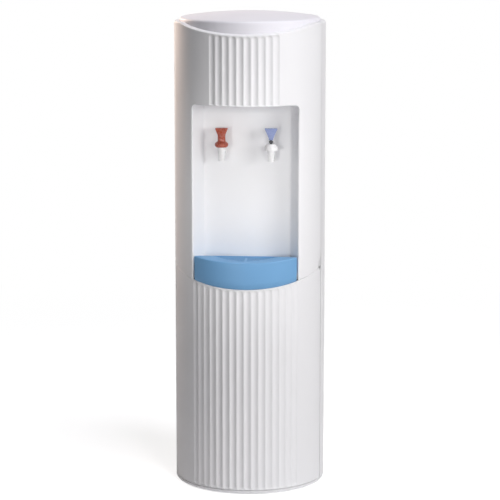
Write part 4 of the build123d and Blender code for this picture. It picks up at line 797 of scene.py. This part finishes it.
def to_line(normal, offset):
    """Distance along each ray to the line p.n = offset, far away where the ray runs from it."""
    toward = normal @ ray
    return np.where(toward > 1e-6, (offset - tray_middle @ normal) / np.maximum(toward, 1e-6), 1e4)


def soft_min(distances, softness):
    """Smooth minimum -k log(sum exp(-d / k)), which rounds the corners between the outlines."""
    d = np.minimum(np.stack(distances), 1e3)
    low = d.min(axis=0)
    return low - softness * np.log(np.exp(-(d - low) / softness).sum(axis=0))


def bowl_outline(grow):
    """Distance along each ray to the half-moon edge of the bowl, grown by some millimetres."""
    round_part = to_circle(bowl_centre_y, bowl_radius + grow)
    return soft_min([round_part, to_line(backward, bowl_back_y + grow)], bowl_corner)


side_offset = np.array([alcove_front_x, alcove_front_y]) @ outward - tray_gap
sides = [to_line(outward * [side, 1], side_offset) for side in (-1, 1)]
front_edge = to_circle(0.0, tray_outer_radius)
outline = soft_min([front_edge, *sides, to_line(backward, alcove_back_y - tray_gap)], tray_corner)
in_front = front_edge < np.minimum(*sides)
print("tray reaches", round(float(outline.max()), 1), "mm from its middle")

# %% [markdown]
# The rows step from the middle of the underside out to the skirt, up its face, round the rim, across the
# top, and down into the bowl to its middle. The top is two planes that meet in a soft ridge across the
# alcove's mouth.

# %% The drip tray
tray_front_z, tray_ridge_z, tray_back_z = 526.6, 534.4, 526.0
grille_z, bowl_floor_z, tray_foot_z = 523.0, 503.0, 498.3
grille_seat = 4.0              # width of the sunk seat round the bowl
seat_soft = 1.0                # rounding from the top down to the seat
rim_soft = 2.4
foot_soft = 0.8
skirt_wall = 1.0               # least thickness of the skirt


def tray_top(distance):
    """Height of the tray's top, the soft minimum of a plane that rises to the ridge and one that falls."""
    y = tray_middle[1] + distance * ray[1]
    front_slope = (tray_ridge_z - tray_front_z) / (body_radius + alcove_front_y)
    back_slope = (tray_ridge_z - tray_back_z) / alcove_depth
    front_plane = tray_front_z + (y + body_radius) * front_slope
    back_plane = tray_ridge_z - (y - alcove_front_y) * back_slope
    return -np.logaddexp(-front_plane, -back_plane)


flat = np.ones_like(ray_angle)
skirt_back = outline - skirt_wall
skirt_back = np.where(in_front, np.minimum(to_circle(0.0, skirt_inner_radius), skirt_back), skirt_back)
skirt_low = np.where(in_front, seam_height(tray_middle[1] + outline * ray[1]) + shown_gap, tray_foot_z)
skirt_face = skirt_low + foot_soft
top_edge = tray_top(outline - rim_soft)
seat_edge = bowl_outline(grille_seat + seat_soft)
quarter_rows = list(zip(*quarter(7)))

tray_rows = [(0 * flat, tray_foot_z * flat), (0.5 * outline, tray_foot_z * flat),
             (skirt_back, tray_foot_z * flat), (skirt_back, skirt_low),
             (outline - foot_soft, skirt_low), (outline, skirt_face)]
tray_rows += [(outline, skirt_face + f * (top_edge - rim_soft - skirt_face)) for f in (0.25, 0.5, 0.75)]
tray_rows += [(outline - rim_soft * (1 - c), top_edge - rim_soft * (1 - s)) for s, c in quarter_rows]
tray_rows += [(d, tray_top(d)) for d in (outline - rim_soft + f * (seat_edge - outline + rim_soft)
                                         for f in (0.25, 0.5, 0.75, 1.0))]
tray_rows += [(bowl_outline(grille_seat + seat_soft * (1 - s)), tray_top(seat_edge) - seat_soft * (1 - c))
              for s, c in quarter_rows[1:]]
tray_rows += [(bowl_outline(grow), z * flat) for grow, z in (
    (grille_seat, grille_z), (0.6, grille_z), (0.0, grille_z - 0.6), (0.0, bowl_floor_z + 3.0),
    (-0.9, bowl_floor_z + 0.9), (-3.0, bowl_floor_z))]
tray_rows += [(share * bowl_outline(-3.0), bowl_floor_z * flat) for share in (0.5, 0.0)]
distance, height = (np.stack(v) for v in zip(*tray_rows))
tray_points = np.stack([distance * ray[0], tray_middle[1] + distance * ray[1], height], axis=-1)
surface("tray_moulding", tray_points, node="drip_tray", slot="tray_blue", body="tray")

# %% [markdown]
# ## The tap handles
# A handle is a small moulding that is narrow where it meets the tap, and wide and flat where a finger
# presses it. It could be stretched between drawn outlines. A stack of superellipses, |x/a|^n + |y/b|^n =
# 1, does the same with one number. In the red handle the exponent n grows from 2, a circle, to 7, nearly
# a rectangle, so the round neck flows into the flat paddle. The blue one starts at 4, a rounded square.
# Both handles end in the same kind of paddle, so one function gives its rows.

# %% Stacked superellipses
tap_x, tap_y = 54.7, alcove_back_y - 28.0
pivot_z, bonnet_top_z, post_top_z, handle_top_z = 778.0, 783.0, 800.0, 817.0
paddle_power = 7.0
paddle_band = 2.2              # height of the straight band along the paddle's top
band_edge = 0.5


def stacked(name, x, rows, count=96, **where):
    """Closed surface through superellipses given as rows of (a, b, n, z)."""
    a, b, n, z = np.asarray(rows, dtype=float).T[..., None]
    turn = np.linspace(0, 2 * np.pi, count + 1)
    c, s = np.cos(turn), np.sin(turn)
    px = x + a * np.sign(c) * np.abs(c) ** (2 / n)
    py = tap_y + b * np.sign(s) * np.abs(s) ** (2 / n)
    surface(name, np.stack(np.broadcast_arrays(px, py, z), axis=-1), **where)


def paddle(low_z, low, high, neck_power):
    """Rows of the flare, from the half sizes low to high, with a straight band along the top.

    The width grows a little late, with f^1.15, and the exponent reaches the paddle's at five eighths of
    the way. The band stands out from the flare, and its top edge is taken off, both by band_edge."""
    f = np.linspace(0, 1, 12)
    wide, thick = high
    band_z = handle_top_z - paddle_band
    flare = np.stack([low[0] + (wide - low[0]) * f**1.15, low[1] + (thick - low[1]) * f,
                      neck_power + (paddle_power - neck_power) * np.minimum(1, 1.6 * f),
                      low_z + (band_z - low_z) * f], axis=1)
    return [*flare, (wide + 0.1, thick + band_edge, paddle_power, band_z + 0.3),
            (wide, thick + band_edge, paddle_power, handle_top_z - band_edge),
            (wide - band_edge, thick, paddle_power, handle_top_z), (0, 0, paddle_power, handle_top_z)]


def round_rows(profile):
    """Rows of circles from a profile of (radius, height)."""
    return [(r, r, 2, z) for r, z in profile]


print("handle height over the pivot", handle_top_z - pivot_z, "mm")

# %% [markdown]
# The red handle is hollow: the stack starts in the socket for the lever's post, widens into a ball-shaped
# cup over the pivot, and comes out round the foot. A thick flange above the foot is what the fingers
# lift. The neck rises from it into the paddle.

# %% The red handle
cup_radius, cup_rise = 10.6, 8.2
foot_z = pivot_z - 3.4
flange_half = math.radians(62)
flange_tall = 5.4

socket = round_rows([(0, post_top_z + 0.5), (3.06, post_top_z + 0.5), (3.06, pivot_z + cup_rise)])
cup = round_rows([(math.sqrt(cup_radius**2 - rise**2), pivot_z + rise)
                  for rise in np.linspace(cup_rise, 0, 7)])
flange = round_rows([
    (9.0 + 5.9 * math.cos(t), foot_z + flange_tall * (1 + math.sin(t) / math.sin(flange_half)))
    for t in np.linspace(-flange_half, flange_half, 13)])
foot = round_rows([(10.7, foot_z), (11.9, foot_z)])
neck = round_rows([(9.7, foot_z + 12.3), (8.9, foot_z + 14.2), (8.7, foot_z + 17.0)])
red_paddle = paddle(handle_top_z - 16.0, (8.7, 8.7), (13.8, 4.5), 2.0)
stacked("hot_handle_moulding", -tap_x, socket + cup + foot + flange + neck + red_paddle,
        node="hot_handle", slot="red_plastic", body="hot_tap_handle")

# %% [markdown]
# The blue handle is a plain wedge pushed onto the lever's post. Its stack starts in the post's hole,
# comes out under a small foot and flares straight into the paddle.

# %% The blue handle
wedge_z = bonnet_top_z + 8.5
post_hole = round_rows([(0, post_top_z), (3.0, post_top_z), (3.0, wedge_z)])
wedge_foot = [(4.6, 4.2, 4, wedge_z), (5.1, 4.9, 4, wedge_z + 0.5),
              (5.1, 4.9, 4, wedge_z + 1.6), (4.7, 4.5, 4, wedge_z + 2.2)]
blue_paddle = paddle(wedge_z + 2.6, (5.0, 5.4), (13.8, 4.0), 4.0)
stacked("cold_handle_moulding", tap_x, post_hole + wedge_foot + blue_paddle,
        node="cold_handle", slot="blue_handle", body="cold_tap_lever")
